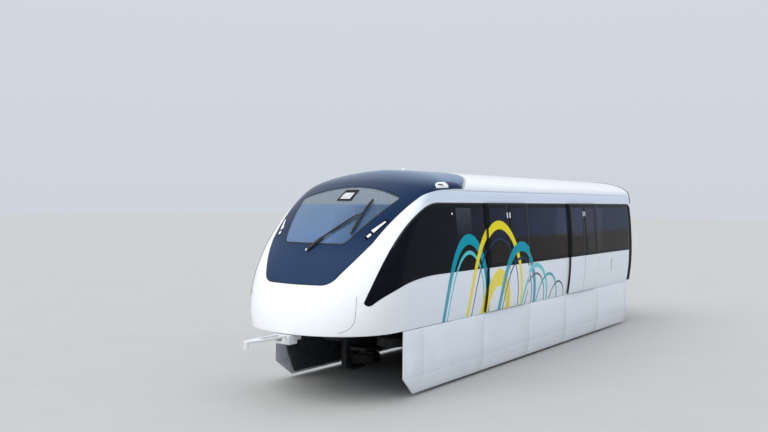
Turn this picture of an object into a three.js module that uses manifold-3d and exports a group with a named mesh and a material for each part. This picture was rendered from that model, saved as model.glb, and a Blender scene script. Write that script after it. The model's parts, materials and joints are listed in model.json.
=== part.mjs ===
// End car of a straddle-beam monorail: a hollow body with a rounded nose, four outside-hung
// double doors, two single-axle bogies that ride astride the beam, and a front coupler.
// Millimetres. +X is forward, +Y is the car's left side, +Z is up. z = 0 is the bogies' feet.
// Lengths named d run backwards from the tip of the nose.

import * as THREE from "three";
import { mergeVertices } from "three/addons/utils/BufferGeometryUtils.js";
import Module from "manifold-3d";

const wasm = await Module();
wasm.setup();

// Overall places
const NOSE_X = 6190;
const BODY_REAR = 12930;
const ROOF_REAR = 13270;
const CAR_REAR = 13280;
const COUPLER_REACH = 900;
const at = (d) => NOSE_X - d;

// Body section
const SOLE_Z = 1200;
const WAIST_Z = 2100;
const SHOULDER_Z = 3640;
const ROOF_Z = 4053;
const HALF_WIDTH = 1560;
const CURVE_ABOVE_WAIST = 5.0e-5;
const CURVE_BELOW_WAIST = 1.0e-4;
const ROOF_FULLNESS = 1 / 2.4;
const WALL = 60;
const GLASS = 16;
const TOUCH = 0.3;
const PANEL_GAP = 4;
const LINING_GAP = 2;
const OVERLAP = 5;

// Nose, seen from the side and from above
const NOSE_LENGTH = 2983;
const NOSE_RISE = 1.81;
const NOSE_FULLNESS = 1 / 1.352;
const NOSE_DEPTH_LOW = 1265;
const NOSE_DEPTH_HIGH = 486;
const NOSE_DEPTH_TOP_Z = 3600;
const PLAN_BLUNTNESS = 2 / 2.14;
const SIDE_LEVELS = 9;
const ROOF_LEVELS = 6;
const NOSE_STEPS = 8;

// Window band and panel joints
const SILL_Z = 2115;
const BAND_TOP_Z = 3385;
const CAB_JOINT = 3050;
const MASK_REAR_SIDE = 3460;
const MASK_REAR_CENTRE = 4180;
const WINDOW_FRAME = 70;

// Doors
const DOOR_CENTRES = [5230, 9455];
const LEAF_WIDTH = 925;
const LEAF_SPLIT = 4;
const LEAF_BOTTOM_Z = 1225;
const LEAF_TOP_Z = 3415;
const LEAF_INNER = -10;
const LEAF_OUTER = -52;
const DOORWAY_HALF = 880;
const DOORWAY_TOP_Z = 3360;
const DOOR_TRAVEL = 860;
const TRACK_Z = [3388, 3418];
const TRACK_DEPTH = 30;
const PANE_MARGIN = 21;

// Floor, skirts and what stands on the floor
const FLOOR_Z = 1550;
const FLOOR_UNDERSIDE_Z = 1420;
const SKIRT_HALF = 1488;
const SKIRT_WALL = 30;
const SKIRT_FRONT = 1400;
const SKIRT_SEAM_Z = 370;
const SKIRT_BOTTOM_Z = 50;
const SKIRT_TUCK = 75;
const SKIRT_CHAMFER = 400;
const SKIRT_FLANGE = { y: 1320, z: 1166 };

// Bogies
const BOGIE_CENTRES = { front: 3200, rear: 11600 };
const AXLE_Z = 1600;
const LOAD_TYRE_RADIUS = 500;
const GUIDE_RADIUS = 300;
const GUIDE_HALF_WIDTH = 95;
const GUIDE_Y = 645;
const GUIDE_X = 900;
const GUIDE_Z = 850;
const STABILISER_Z = 260;
const SPINDLE_RADIUS = 30;

const material = (color, roughness, metalness) =>
  new THREE.MeshStandardMaterial({ color, roughness, metalness });
const WHITE_PAINT = material(0xe9edf2, 0.3, 0.0);
const NAVY_GLOSS = material(0x16233a, 0.12, 0.0);
const TINTED_GLASS = material(0x1d252b, 0.08, 0.0);
const CLEAR_GLASS = material(0x8fb0c4, 0.05, 0.0);
const LAMP_LENS = material(0xf2f5f7, 0.15, 0.0);
const BLACK_RUBBER = material(0x141516, 0.8, 0.0);
const BELLOWS_CLOTH = material(0x2c3532, 0.85, 0.0);
const STEEL_GREY = material(0x6d7276, 0.5, 0.7);
const FRAME_PAINT = material(0x3a3f44, 0.6, 0.3);
const TRIM_GREY = material(0xc9ccce, 0.5, 0.0);
const SEAT_BLUE = material(0x2f6f8f, 0.6, 0.0);

// Solids

function solid(geometry) {
  const g = geometry.index ? geometry.toNonIndexed() : geometry.clone();
  g.deleteAttribute("normal");
  g.deleteAttribute("uv");
  const merged = mergeVertices(g, 1e-3);
  const kept = [];
  const index = merged.index.array;
  for (let i = 0; i < index.length; i += 3) {
    const [a, b, c] = [index[i], index[i + 1], index[i + 2]];
    if (a !== b && b !== c && c !== a) kept.push(a, b, c);
  }
  return new wasm.Manifold(
    new wasm.Mesh({
      numProp: 3,
      vertProperties: merged.attributes.position.array,
      triVerts: new Uint32Array(kept),
    }),
  );
}

function meshOf(name, body, finish) {
  const m = body.getMesh();
  const g = new THREE.BufferGeometry();
  g.setAttribute("position", new THREE.BufferAttribute(new Float32Array(m.vertProperties), 3));
  g.setIndex(new THREE.BufferAttribute(new Uint32Array(m.triVerts), 1));
  g.computeVertexNormals();
  const mesh = new THREE.Mesh(g, finish);
  mesh.name = name;
  return mesh;
}

const union = (bodies) => bodies.reduce((sum, body) => sum.add(body));
const mirrorY = (body) => body.mirror([0, 1, 0]);

function box([x0, x1], [y0, y1], [z0, z1]) {
  const g = new THREE.BoxGeometry(x1 - x0, y1 - y0, z1 - z0);
  return solid(g.translate((x0 + x1) / 2, (y0 + y1) / 2, (z0 + z1) / 2));
}

// A box about the centre plane, from its range behind the nose tip, half width and heights
const across = ([d0, d1], half, z) => box([at(d1), at(d0)], [-half, half], z);

// The same box on both sides of the centre plane
const twinBox = (xs, ys, zs) => {
  const left = box(xs, ys, zs);
  return left.add(mirrorY(left));
};

// An outline in the plane of two axes, pushed along the third
const ALONG = {
  x: new THREE.Matrix4().makeBasis(
    new THREE.Vector3(0, 1, 0),
    new THREE.Vector3(0, 0, 1),
    new THREE.Vector3(1, 0, 0),
  ),
  y: new THREE.Matrix4().makeBasis(
    new THREE.Vector3(1, 0, 0),
    new THREE.Vector3(0, 0, 1),
    new THREE.Vector3(0, -1, 0),
  ),
  z: new THREE.Matrix4(),
};

function prism(shape, axis, from, to, curveSegments = 6) {
  const g = new THREE.ExtrudeGeometry(shape, {
    depth: to - from,
    bevelEnabled: false,
    curveSegments,
  });
  g.applyMatrix4(ALONG[axis]);
  const start = axis === "y" ? to : from;
  g.translate(axis === "x" ? start : 0, axis === "y" ? start : 0, axis === "z" ? start : 0);
  return solid(g);
}

const polygon = (points) => new THREE.Shape(points.map(([a, b]) => new THREE.Vector2(a, b)));

function rod(axis, radius, [from, to], [a, b], sides = 16) {
  const circle = new THREE.Shape().absarc(a, b, radius, 0, 2 * Math.PI, false);
  return prism(circle, axis, from, to, sides / 2);
}

// A section of [radius, offset] turned about a line through a centre, parallel to Y or Z
function turned(profile, axis, [x, y, z], sides) {
  const closed = [...profile, profile[0]].map(([r, h]) => new THREE.Vector2(r, h));
  const g = new THREE.LatheGeometry(closed, sides);
  if (axis === "z") g.rotateX(Math.PI / 2);
  const ring = solid(g.translate(x, y, z));
  return ring.volume() < 0 ? solid(flipped(g)) : ring;
}

function flipped(geometry) {
  const g = geometry.index ? geometry.toNonIndexed() : geometry.clone();
  const p = g.attributes.position;
  for (let i = 0; i < p.count; i += 3) {
    const [ax, ay, az] = [p.getX(i), p.getY(i), p.getZ(i)];
    p.setXYZ(i, p.getX(i + 1), p.getY(i + 1), p.getZ(i + 1));
    p.setXYZ(i + 1, ax, ay, az);
  }
  return g;
}

// The hull: level outlines from the sole to the crown of the roof. A positive inset lies
// inside the outer skin, a negative one outside it.

function sideHalf(z, inset) {
  const curve = z > WAIST_Z ? CURVE_ABOVE_WAIST : CURVE_BELOW_WAIST;
  const wall = (height) => HALF_WIDTH - inset - curve * (height - WAIST_Z) ** 2;
  if (z <= SHOULDER_Z) return wall(z);
  const climb = Math.min((z - SHOULDER_Z) / (ROOF_Z - inset - SHOULDER_Z), 1);
  return wall(SHOULDER_Z) * (1 - climb ** 2) ** ROOF_FULLNESS;
}

function noseSetback(z, inset) {
  const climb = (z - SOLE_Z) / (ROOF_Z - inset - SOLE_Z);
  const held = Math.min(Math.max(climb, 0), 1);
  return inset + NOSE_LENGTH * (1 - (1 - held ** NOSE_RISE) ** NOSE_FULLNESS);
}

function noseDepth(z) {
  const climb = (z - SOLE_Z) / (NOSE_DEPTH_TOP_Z - SOLE_Z);
  const held = Math.min(Math.max(climb, 0), 1);
  return NOSE_DEPTH_LOW + (NOSE_DEPTH_HIGH - NOSE_DEPTH_LOW) * held;
}

function levelOutline(z, inset, rear) {
  const half = sideHalf(z, inset);
  const left = [];
  for (let i = 0; i <= NOSE_STEPS; i++) {
    const turn = (Math.PI / 2) * (i / NOSE_STEPS);
    const back = noseDepth(z) * (1 - Math.cos(turn) ** PLAN_BLUNTNESS);
    left.push([at(noseSetback(z, inset) + back), half * Math.sin(turn) ** PLAN_BLUNTNESS]);
  }
  left.push([at(rear), half]);
  const right = left.slice(1).reverse().map(([x, y]) => [x, -y]);
  return [...right, ...left].map(([x, y]) => [x, y, z]);
}

function loft(loops) {
  const n = loops[0].length;
  const points = loops.flat();
  const faces = [];
  for (let k = 0; k + 1 < loops.length; k++) {
    for (let i = 0; i < n; i++) {
      const j = (i + 1) % n;
      const [a, b, c, d] = [k * n + i, k * n + j, (k + 1) * n + j, (k + 1) * n + i];
      faces.push(a, b, c, a, c, d);
    }
  }
  const top = (loops.length - 1) * n;
  for (let i = 1; i + 1 < n; i++) {
    faces.push(0, i + 1, i);
    faces.push(top, top + i, top + i + 1);
  }
  const g = new THREE.BufferGeometry();
  g.setAttribute("position", new THREE.Float32BufferAttribute(points.flat(), 3));
  g.setIndex(faces);
  return solid(g);
}

// The inner surfaces run a little further down and back than the outer skin
const INNER_OVERRUN = 40;
const hulls = new Map();

function hull(inset) {
  if (hulls.has(inset)) return hulls.get(inset);
  const overrun = inset > 0 ? INNER_OVERRUN : 0;
  const levels = inset > 0 ? [SOLE_Z - overrun] : [];
  for (let i = 0; i <= SIDE_LEVELS; i++) {
    levels.push(SOLE_Z + ((SHOULDER_Z - SOLE_Z) * i) / SIDE_LEVELS);
  }
  for (let i = 1; i <= ROOF_LEVELS; i++) {
    const rise = Math.sin((Math.PI / 2) * (i / ROOF_LEVELS));
    levels.push(SHOULDER_Z + (ROOF_Z - inset - SHOULDER_Z) * rise);
  }
  const body = loft(levels.map((z) => levelOutline(z, inset, ROOF_REAR + overrun)));
  hulls.set(inset, body);
  return body;
}

const skin = (outer, inner) => hull(outer).subtract(hull(inner));
const shell = skin(0, WALL);
const FAR = 2000;
const MIDDLE_STRIP = 300;
const leftHalf = (shape) => prism(shape, "y", MIDDLE_STRIP, FAR, 10);

// Outlines seen from the side, in x and z

function slab(d0, d1, z0, z1) {
  return polygon([
    [at(d1), z0],
    [at(d0), z0],
    [at(d0), z1],
    [at(d1), z1],
  ]);
}

// The dark band from the pointed tip beside the nose to the first door, grown on every side
const SWEEP_TIP = { d: 534, z: 1750 };

function sweptBand(rear, grow) {
  const tip = at(SWEEP_TIP.d - grow);
  const top = BAND_TOP_Z + grow;
  const sill = SILL_Z - grow;
  const s = new THREE.Shape();
  s.moveTo(at(rear), sill);
  s.lineTo(at(2400), sill);
  s.bezierCurveTo(at(1450), sill - 10, at(880), 1930 - grow, at(640), 1716 - grow);
  s.quadraticCurveTo(at(560 - grow), 1672 - grow, tip, SWEEP_TIP.z);
  s.bezierCurveTo(at(865 - grow), 2475 + grow, at(1600), top, at(2500), top);
  s.lineTo(at(rear), top);
  return s;
}

// Outlines seen from the front, in y and z, the same on both sides

function bothSides(half) {
  const s = new THREE.Shape();
  const points = half.getPoints(7);
  const other = points.slice(1, -1).reverse().map((p) => new THREE.Vector2(-p.x, p.y));
  s.setFromPoints([...points, ...other]);
  return s;
}

function maskOutline(grow) {
  const s = new THREE.Path();
  s.moveTo(0, 2025 - grow);
  s.lineTo(540, 2030 - grow);
  s.quadraticCurveTo(730, 2035 - grow, 810 + grow, 2190);
  s.quadraticCurveTo(985 + grow, 2430, 1125 + grow, 2720);
  s.quadraticCurveTo(1240 + grow, 3110, 1380 + grow, 3560);
  s.lineTo(1415 + grow, SHOULDER_Z - grow);
  s.lineTo(1800, SHOULDER_Z - grow);
  s.lineTo(1800, ROOF_Z + 300);
  s.lineTo(0, ROOF_Z + 300);
  return bothSides(s);
}

function windscreenOutline(grow) {
  const s = new THREE.Path();
  s.moveTo(0, 2690 - grow);
  s.lineTo(590, 2690 - grow);
  s.quadraticCurveTo(680 + grow, 2690 - grow, 718 + grow, 2765);
  s.lineTo(1092 + grow, 3440);
  s.quadraticCurveTo(1124 + grow, 3495 + grow, 1050, 3508 + grow);
  s.quadraticCurveTo(525, 3690 + grow, 0, 3690 + grow);
  return bothSides(s);
}

// The mask's end on the roof, seen from above
function maskPlan(grow) {
  const [side, centre] = [at(MASK_REAR_SIDE + grow), at(MASK_REAR_CENTRE + grow)];
  const s = new THREE.Path();
  s.moveTo(NOSE_X + 500, 0);
  s.lineTo(NOSE_X + 500, 1800);
  s.lineTo(side, 1800);
  s.lineTo(side, 1440);
  s.quadraticCurveTo(centre, 1180, centre, 860);
  s.lineTo(centre, 0);
  const points = s.getPoints(6);
  const other = points.slice(1, -1).reverse().map((p) => new THREE.Vector2(p.x, -p.y));
  return new THREE.Shape([...points, ...other]);
}

// Behind the nose's curve the mask's lower edge follows the shoulder of the body
const MASK_LEVEL_FROM = 2350;

function maskRegion(grow) {
  const below = box(
    [at(CAR_REAR), at(MASK_LEVEL_FROM)],
    [-FAR, FAR],
    [SOLE_Z, SHOULDER_Z - grow],
  );
  return prism(maskOutline(grow), "x", -FAR, NOSE_X + 500)
    .intersect(prism(maskPlan(grow), "z", 1500, ROOF_Z + 200))
    .subtract(below);
}

const screenRegion = (grow) => prism(windscreenOutline(grow), "x", 2500, NOSE_X + 300);

// A straight strip across the front view, from one [y, z] to another, grown on every side
function frontStrip([y0, z0], [y1, z1], width, grow = 0) {
  const along = new THREE.Vector2(y1 - y0, z1 - z0).normalize();
  const across = new THREE.Vector2(-along.y, along.x).multiplyScalar(width / 2 + grow);
  const [ey, ez] = [along.x * grow, along.y * grow];
  const s = polygon([
    [y0 - ey - across.x, z0 - ez - across.y],
    [y1 + ey - across.x, z1 + ez - across.y],
    [y1 + ey + across.x, z1 + ez + across.y],
    [y0 - ey + across.x, z0 - ez + across.y],
  ]);
  return prism(s, "x", 3000, NOSE_X + 300);
}

const LAMP_FOOT = [1008, 2795];
const LAMP_HEAD = [1146, 3050];
const LAMP_WIDTH = 52;
const lampRegion = (grow) => frontStrip(LAMP_FOOT, LAMP_HEAD, LAMP_WIDTH, grow);

// The long teardrop on each flank of the mask, seen from the side
const POD = { tip: 2505, tail: 3450, low: 3678, high: 3806, proud: 24 };

function podOutline() {
  const { tip, tail, low, high } = POD;
  const middle = (tip + tail) / 2;
  const s = new THREE.Shape();
  s.moveTo(at(tip), low + 18);
  s.bezierCurveTo(at(tip + 10), high - 25, at(tip + 150), high - 8, at(middle), high - 4);
  s.bezierCurveTo(at(tail - 90), high + 4, at(tail), high - 8, at(tail), high - 60);
  s.bezierCurveTo(at(tail), low + 22, at(tail - 120), low + 18, at(middle), low + 10);
  s.bezierCurveTo(at(tip + 100), low, at(tip), low - 6, at(tip), low + 18);
  return s;
}

// The antenna's dome over the rear of the mask: [radius, height above the crown]
const ANTENNA_D = 3600;
const ANTENNA_PROFILE = [
  [0, -40],
  [52, -40],
  [52, 8],
  [38, 14],
  [38, 34],
  [28, 50],
  [0, 58],
];

// Nose, mask and windscreen

const sweptRebate = leftHalf(sweptBand(CAB_JOINT + 50, 2)).subtract(hull(GLASS + TOUCH));

function noseShell() {
  const zone = prism(slab(-200, CAB_JOINT - PANEL_GAP, SOLE_Z, SHOULDER_Z - 1), "y", -FAR, FAR);
  return shell
    .intersect(zone)
    .subtract(maskRegion(PANEL_GAP))
    .subtract(sweptRebate)
    .subtract(mirrorY(sweptRebate));
}

function frontMask() {
  const lamps = lampRegion(1);
  const pod = skin(-POD.proud, OVERLAP).intersect(leftHalf(podOutline()));
  const antenna = turned(ANTENNA_PROFILE, "z", [at(ANTENNA_D), 0, ROOF_Z], 16);
  return shell
    .intersect(maskRegion(0))
    .subtract(screenRegion(1.5))
    .subtract(lamps)
    .subtract(mirrorY(lamps))
    .add(pod)
    .add(mirrorY(pod))
    .add(antenna);
}

const WIPER = {
  arm: { from: [0, 2590], to: [672, 3205], width: 34, lies: [-44, -24] },
  blade: { from: [700, 2860], to: [650, 3445], width: 26, lies: [-40, -4] },
  spindle: { from: [-25, 2575], to: [25, 2615], width: 60, lies: [-44, -1] },
};

const wiper = () =>
  union(
    Object.values(WIPER).map(({ from, to, width, lies }) =>
      skin(...lies).intersect(frontStrip(from, to, width)),
    ),
  );

// Sides, windows and doors

const SIDE_WINDOWS = [
  { name: "front", from: CAB_JOINT, to: DOOR_CENTRES[0] - LEAF_WIDTH - 25 },
  { name: "middle", from: DOOR_CENTRES[0] + LEAF_WIDTH + 25, to: DOOR_CENTRES[1] - LEAF_WIDTH - 25 },
  { name: "rear", from: DOOR_CENTRES[1] + LEAF_WIDTH + 25, to: BODY_REAR - 20 },
];

const paneShape = ({ name, from, to }, grow) =>
  name === "front"
    ? sweptBand(to + grow, grow)
    : slab(from - grow, to + grow, SILL_Z - grow, BAND_TOP_Z + grow);

const pane = (window) => skin(0, GLASS).intersect(leftHalf(paneShape(window, -1)));

function sideWall() {
  const zone = slab(CAB_JOINT, BODY_REAR, SOLE_Z, SHOULDER_Z - 3);
  let wall = shell.intersect(leftHalf(zone));
  for (const window of SIDE_WINDOWS) {
    const rebate = leftHalf(paneShape(window, 1)).subtract(hull(GLASS + TOUCH));
    const light = slab(
      window.from + WINDOW_FRAME,
      window.to - WINDOW_FRAME,
      SILL_Z + WINDOW_FRAME,
      BAND_TOP_Z - WINDOW_FRAME,
    );
    wall = wall.subtract(rebate).subtract(leftHalf(light));
  }
  for (const centre of DOOR_CENTRES) {
    const doorway = slab(centre - DOORWAY_HALF, centre + DOORWAY_HALF, FLOOR_Z, DOORWAY_TOP_Z);
    const reach = LEAF_WIDTH + DOOR_TRAVEL + 20;
    const track = leftHalf(slab(centre - reach, centre + reach, ...TRACK_Z));
    wall = wall.subtract(leftHalf(doorway)).subtract(track.subtract(hull(TRACK_DEPTH)));
  }
  return wall;
}

// One leaf of a double door; side is 1 for the leaf ahead of the split, -1 for the one behind
const leafSpan = (centre, side, margin) => {
  const near = centre - side * (LEAF_SPLIT + margin);
  const far = centre - side * (LEAF_WIDTH - margin);
  return [Math.min(near, far), Math.max(near, far)];
};

function doorLeaf(centre, side) {
  const whole = slab(...leafSpan(centre, side, 0), LEAF_BOTTOM_Z, LEAF_TOP_Z);
  const light = slab(
    ...leafSpan(centre, side, WINDOW_FRAME),
    SILL_Z + WINDOW_FRAME,
    BAND_TOP_Z - WINDOW_FRAME,
  );
  const rebate = slab(...leafSpan(centre, side, PANE_MARGIN - 1), SILL_Z - 1, BAND_TOP_Z + 1);
  const hanger = slab(...leafSpan(centre, side, 250), TRACK_Z[0] + 7, TRACK_Z[1] - 7);
  return skin(LEAF_OUTER, LEAF_INNER)
    .intersect(leftHalf(whole))
    .subtract(leftHalf(rebate).subtract(hull(LEAF_OUTER + GLASS + TOUCH)))
    .subtract(leftHalf(light))
    .add(skin(LEAF_INNER - 5, TRACK_DEPTH - 10).intersect(leftHalf(hanger)));
}

function doorPane(centre, side) {
  const outline = slab(...leafSpan(centre, side, PANE_MARGIN), SILL_Z, BAND_TOP_Z);
  return skin(LEAF_OUTER, LEAF_OUTER + GLASS).intersect(leftHalf(outline));
}

// Roof, end wall and gangway

function roofShell() {
  const zone = polygon([
    [at(ROOF_REAR), BAND_TOP_Z + 5],
    [at(BODY_REAR + 5), BAND_TOP_Z + 5],
    [at(BODY_REAR + 5), SHOULDER_Z],
    [at(MASK_REAR_SIDE - 500), SHOULDER_Z],
    [at(MASK_REAR_SIDE - 500), ROOF_Z + 100],
    [at(ROOF_REAR), ROOF_Z + 100],
  ]);
  return shell.intersect(prism(zone, "y", -FAR, FAR)).subtract(maskRegion(PANEL_GAP));
}

const GANGWAY_HALF = 800;
const GANGWAY_TOP_Z = 3480;
const END_WALL_DEPTH = 70;
const INNER_REAR = BODY_REAR - END_WALL_DEPTH - LINING_GAP;
const BELLOWS = { inset: 30, foot: SOLE_Z + 12, folds: 7, draw: 45 };

function rearEndWall() {
  const plate = box([at(BODY_REAR), at(BODY_REAR - END_WALL_DEPTH)], [-FAR, FAR], [SOLE_Z, ROOF_Z]);
  const way = across([BODY_REAR - 120, BODY_REAR + 50], GANGWAY_HALF, [FLOOR_Z - 1, GANGWAY_TOP_Z]);
  return hull(WALL + LINING_GAP).intersect(plate).subtract(way);
}

// Folds flush with the body's sides, which go up under the roof's overhang
function gangwayBellows() {
  const { inset, foot, folds, draw } = BELLOWS;
  const start = BODY_REAR + 2;
  const pitch = (CAR_REAR - start) / folds;
  const rings = [];
  for (let i = 0; i < folds; i++) {
    const drawn = i % 2 ? draw : 0;
    const run = [start + i * pitch - (i ? TOUCH : 0), start + (i + 1) * pitch];
    const sides = across(run, FAR, [foot + drawn, BAND_TOP_Z]);
    const crown = across(run, FAR, [BAND_TOP_Z - OVERLAP, ROOF_Z]);
    rings.push(hull(inset + drawn).intersect(sides));
    rings.push(hull(WALL + LINING_GAP + 1 + drawn).intersect(crown));
  }
  const way = across([start - 50, CAR_REAR + 50], GANGWAY_HALF, [FLOOR_Z, GANGWAY_TOP_Z]);
  return union(rings).subtract(way);
}

// Underframe with its floor, sills, equipment cases and coupler pockets

const DECK_FRONT = 380;
const SILL = { front: 1500, y: [1300, 1415] };
const CASES = {
  runs: [
    [4950, 6450],
    [6600, 8200],
    [8350, 9850],
  ],
  y: [500, 1290],
  foot: 300,
};
const POCKET_HALF = 210;
const FRONT_POCKET = { d: [395, 1200], foot: 1230 };
const REAR_POCKET = { d: [12600, 12850], foot: 1180 };
const WELL = { reach: 640, half: 600, z: [1000, 1800] };

function underframe() {
  const joint = FLOOR_UNDERSIDE_Z + 5;
  const deck = hull(WALL + LINING_GAP).intersect(
    across([DECK_FRONT, INNER_REAR], FAR, [FLOOR_UNDERSIDE_Z, FLOOR_Z - TOUCH]),
  );
  const sills = twinBox([at(INNER_REAR), at(SILL.front)], SILL.y, [SOLE_Z, joint]);
  const cases = CASES.runs.map(([d0, d1]) => twinBox([at(d1), at(d0)], CASES.y, [CASES.foot, joint]));
  const pockets = [FRONT_POCKET, REAR_POCKET].map(({ d, foot }) =>
    across(d, POCKET_HALF, [foot, joint]),
  );
  const wells = Object.values(BOGIE_CENTRES).map((centre) =>
    across([centre - WELL.reach, centre + WELL.reach], WELL.half, WELL.z),
  );
  return union([deck, sills, ...cases, ...pockets]).subtract(union(wells));
}

function skirt() {
  const [outer, inner] = [SKIRT_HALF, SKIRT_HALF - SKIRT_WALL];
  const section = polygon([
    [inner - SKIRT_TUCK, SKIRT_BOTTOM_Z],
    [outer - SKIRT_TUCK, SKIRT_BOTTOM_Z],
    [outer, SKIRT_SEAM_Z],
    [outer, SOLE_Z - PANEL_GAP],
    [SKIRT_FLANGE.y, SOLE_Z - PANEL_GAP],
    [SKIRT_FLANGE.y, SKIRT_FLANGE.z],
    [inner, SKIRT_FLANGE.z],
    [inner, SKIRT_SEAM_Z],
  ]);
  const chamfer = polygon([
    [at(SKIRT_FRONT - 10), SKIRT_SEAM_Z],
    [at(SKIRT_FRONT + SKIRT_CHAMFER), SKIRT_BOTTOM_Z - 5],
    [at(SKIRT_FRONT - 10), SKIRT_BOTTOM_Z - 5],
  ]);
  return prism(section, "x", at(BODY_REAR - 30), at(SKIRT_FRONT)).subtract(leftHalf(chamfer));
}

// Couplers

const COUPLER = {
  foot: { d: [300, 1150], half: 190, z: [1150, FRONT_POCKET.foot - TOUCH] },
  neck: { d: [140, 320], half: 110, z: [1080, 1185] },
  jaw: { d: [-50, 150], half: 170, z: [1035, 1190] },
  slot: { d: [-540, -60], half: 75, z: [1100, 1200] },
  lip: { d: [-COUPLER_REACH, 30 - COUPLER_REACH], half: 45, z: [1060, 1180] },
};
const COUPLER_MOUTH = { d: [-60, 60], y: [-145, 10], z: [1070, 1150] };
const COUPLER_ARM = { root: 30, shoulder: -640, half: 110, tipHalf: 45, z: [1155, 1190] };

// A jaw with a mouth in its front, and a flat slotted arm that narrows to a lip
function frontCoupler() {
  const piece = ({ d, half, z }) => across(d, half, z);
  const { foot, neck, jaw, slot, lip } = COUPLER;
  const { d, y, z } = COUPLER_MOUTH;
  const mouth = box([at(d[1]), at(d[0])], y, z);
  const { root, shoulder, half, tipHalf } = COUPLER_ARM;
  const tip = at(-COUPLER_REACH);
  const outline = polygon([
    [at(root), -half],
    [at(shoulder), -half],
    [tip, -tipHalf],
    [tip, tipHalf],
    [at(shoulder), half],
    [at(root), half],
  ]);
  const arm = prism(outline, "z", ...COUPLER_ARM.z).subtract(piece(slot));
  return union([piece(foot), piece(neck), piece(jaw).subtract(mouth), arm, piece(lip)]);
}

const DRAWBAR = { radius: 62, z: 1080, front: 12700 };

function rearDrawbar() {
  const plate = across(REAR_POCKET.d, 180, [1120, REAR_POCKET.foot - 1]);
  const bar = rod("x", DRAWBAR.radius, [at(CAR_REAR), at(DRAWBAR.front)], [0, DRAWBAR.z]);
  const neck = across([12720, 12840], 70, [1060, 1130]);
  return union([plate, bar, neck]);
}

// Inside the body: seats built round the wheel housings, ceiling with grab rails, desk

const HOUSING = { half: 640, length: 1400, top: 2240, wall: 20 };
const SEAT = { depth: 430, half: 620, low: 1880, top: 1990, back: 2480, backDepth: 70 };
const PLINTH = { depth: 250, half: 300 };

function housingWithSeats(centre) {
  const { half, length, top, wall } = HOUSING;
  const end = length / 2;
  const shellBox = box([at(centre + end), at(centre - end)], [-half, half], [FLOOR_Z, top]);
  const hollow = box(
    [at(centre + end - wall), at(centre - end + wall)],
    [-half + wall, half - wall],
    [FLOOR_Z - 10, top - wall],
  );
  const pieces = [shellBox.subtract(hollow)];
  for (const side of [1, -1]) {
    const run = (from, to) => [side * from, side * to].sort((a, b) => a - b).map((s) => at(centre) + s);
    pieces.push(
      box(run(end - 1, end + SEAT.depth), [-SEAT.half, SEAT.half], [SEAT.low, SEAT.top]),
      box(run(end - 1, end + SEAT.backDepth), [-SEAT.half, SEAT.half], [SEAT.low, SEAT.back]),
      box(run(end - 1, end + PLINTH.depth), [-PLINTH.half, PLINTH.half], [FLOOR_Z, SEAT.low + 5]),
    );
  }
  return union(pieces);
}

const CEILING = { front: 2700, rear: BODY_REAR - 80, half: 1180, z: [3650, 3690] };
const RAIL = { y: 760, z: 3380, radius: 17, overrun: 20 };

// A pole beyond each edge of the doorways, and one halfway between the doors
const POLE_GAP = 150;
const [POLES_AHEAD, POLES_BEHIND] = [-1, 1].map((way) =>
  DOOR_CENTRES.map((centre) => centre + way * (DOORWAY_HALF + POLE_GAP)),
);
const POLE_PLACES = [...POLES_AHEAD, (DOOR_CENTRES[0] + DOOR_CENTRES[1]) / 2, ...POLES_BEHIND];

function ceilingWithRails() {
  const pieces = [across([CEILING.front, CEILING.rear], CEILING.half, CEILING.z)];
  const poleTop = CEILING.z[0] + OVERLAP;
  const railEnds = [
    at(Math.max(...POLE_PLACES) + RAIL.overrun),
    at(Math.min(...POLE_PLACES) - RAIL.overrun),
  ];
  for (const y of [RAIL.y, -RAIL.y]) {
    pieces.push(rod("x", RAIL.radius, railEnds, [y, RAIL.z], 8));
    for (const place of POLE_PLACES) {
      pieces.push(rod("z", RAIL.radius, [FLOOR_Z, poleTop], [at(place), y], 8));
    }
  }
  return union(pieces);
}

// The desk's section: places behind the nose tip, and heights
const DESK_SECTION = [
  [300, FLOOR_Z],
  [300, 2560],
  [1250, 2560],
  [1700, 2440],
  [1750, 2380],
  [1500, 2300],
  [1500, FLOOR_Z],
];
const DESK_HALF = 1050;
const DESK_HOLLOW = { d: [500, 1400], half: 900, z: [FLOOR_Z - 10, 2480] };

function driverDesk() {
  const outline = polygon(DESK_SECTION.map(([d, z]) => [at(d), z]));
  return hull(WALL + 12)
    .intersect(prism(outline, "y", -DESK_HALF, DESK_HALF))
    .subtract(across(DESK_HOLLOW.d, DESK_HOLLOW.half, DESK_HOLLOW.z));
}

// Bogies

// The frame's beams and plates: how far they reach before and behind the axle, y and z
const SIDE_PLATE = { reach: 560, y: [372, 450], z: [1180, 1700] };
const SIDE_BEAM = { reach: 1130, y: [960, 1080], z: [1180, 1340] };
const CROSS_BEAM = { starts: [-700, 560], depth: 140, z: [1160, 1340] };
const SPRING = { y: 700, radius: 170, z: [1330, FLOOR_UNDERSIDE_Z - 8] };
const SPRING_DECK = { reach: 210, z: [1200, 1335] };
const LEG = { reach: 240, z: [0, 1200] };
const SHOE = { y: 820, z: [0, 45] };
const GUIDE_BRACKET = { reach: 100, z: [1180, 1280] };
const STABILISER_ARM = { reach: 110, y: 575, z: [STABILISER_Z + 130, STABILISER_Z + 190] };
const AXLE_BORE = { radius: 72, half: 500 };
const SPINDLE_END = { radius: 55, below: [140, 108] };
const COLLAR = { radius: 80, above: 150 };

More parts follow.
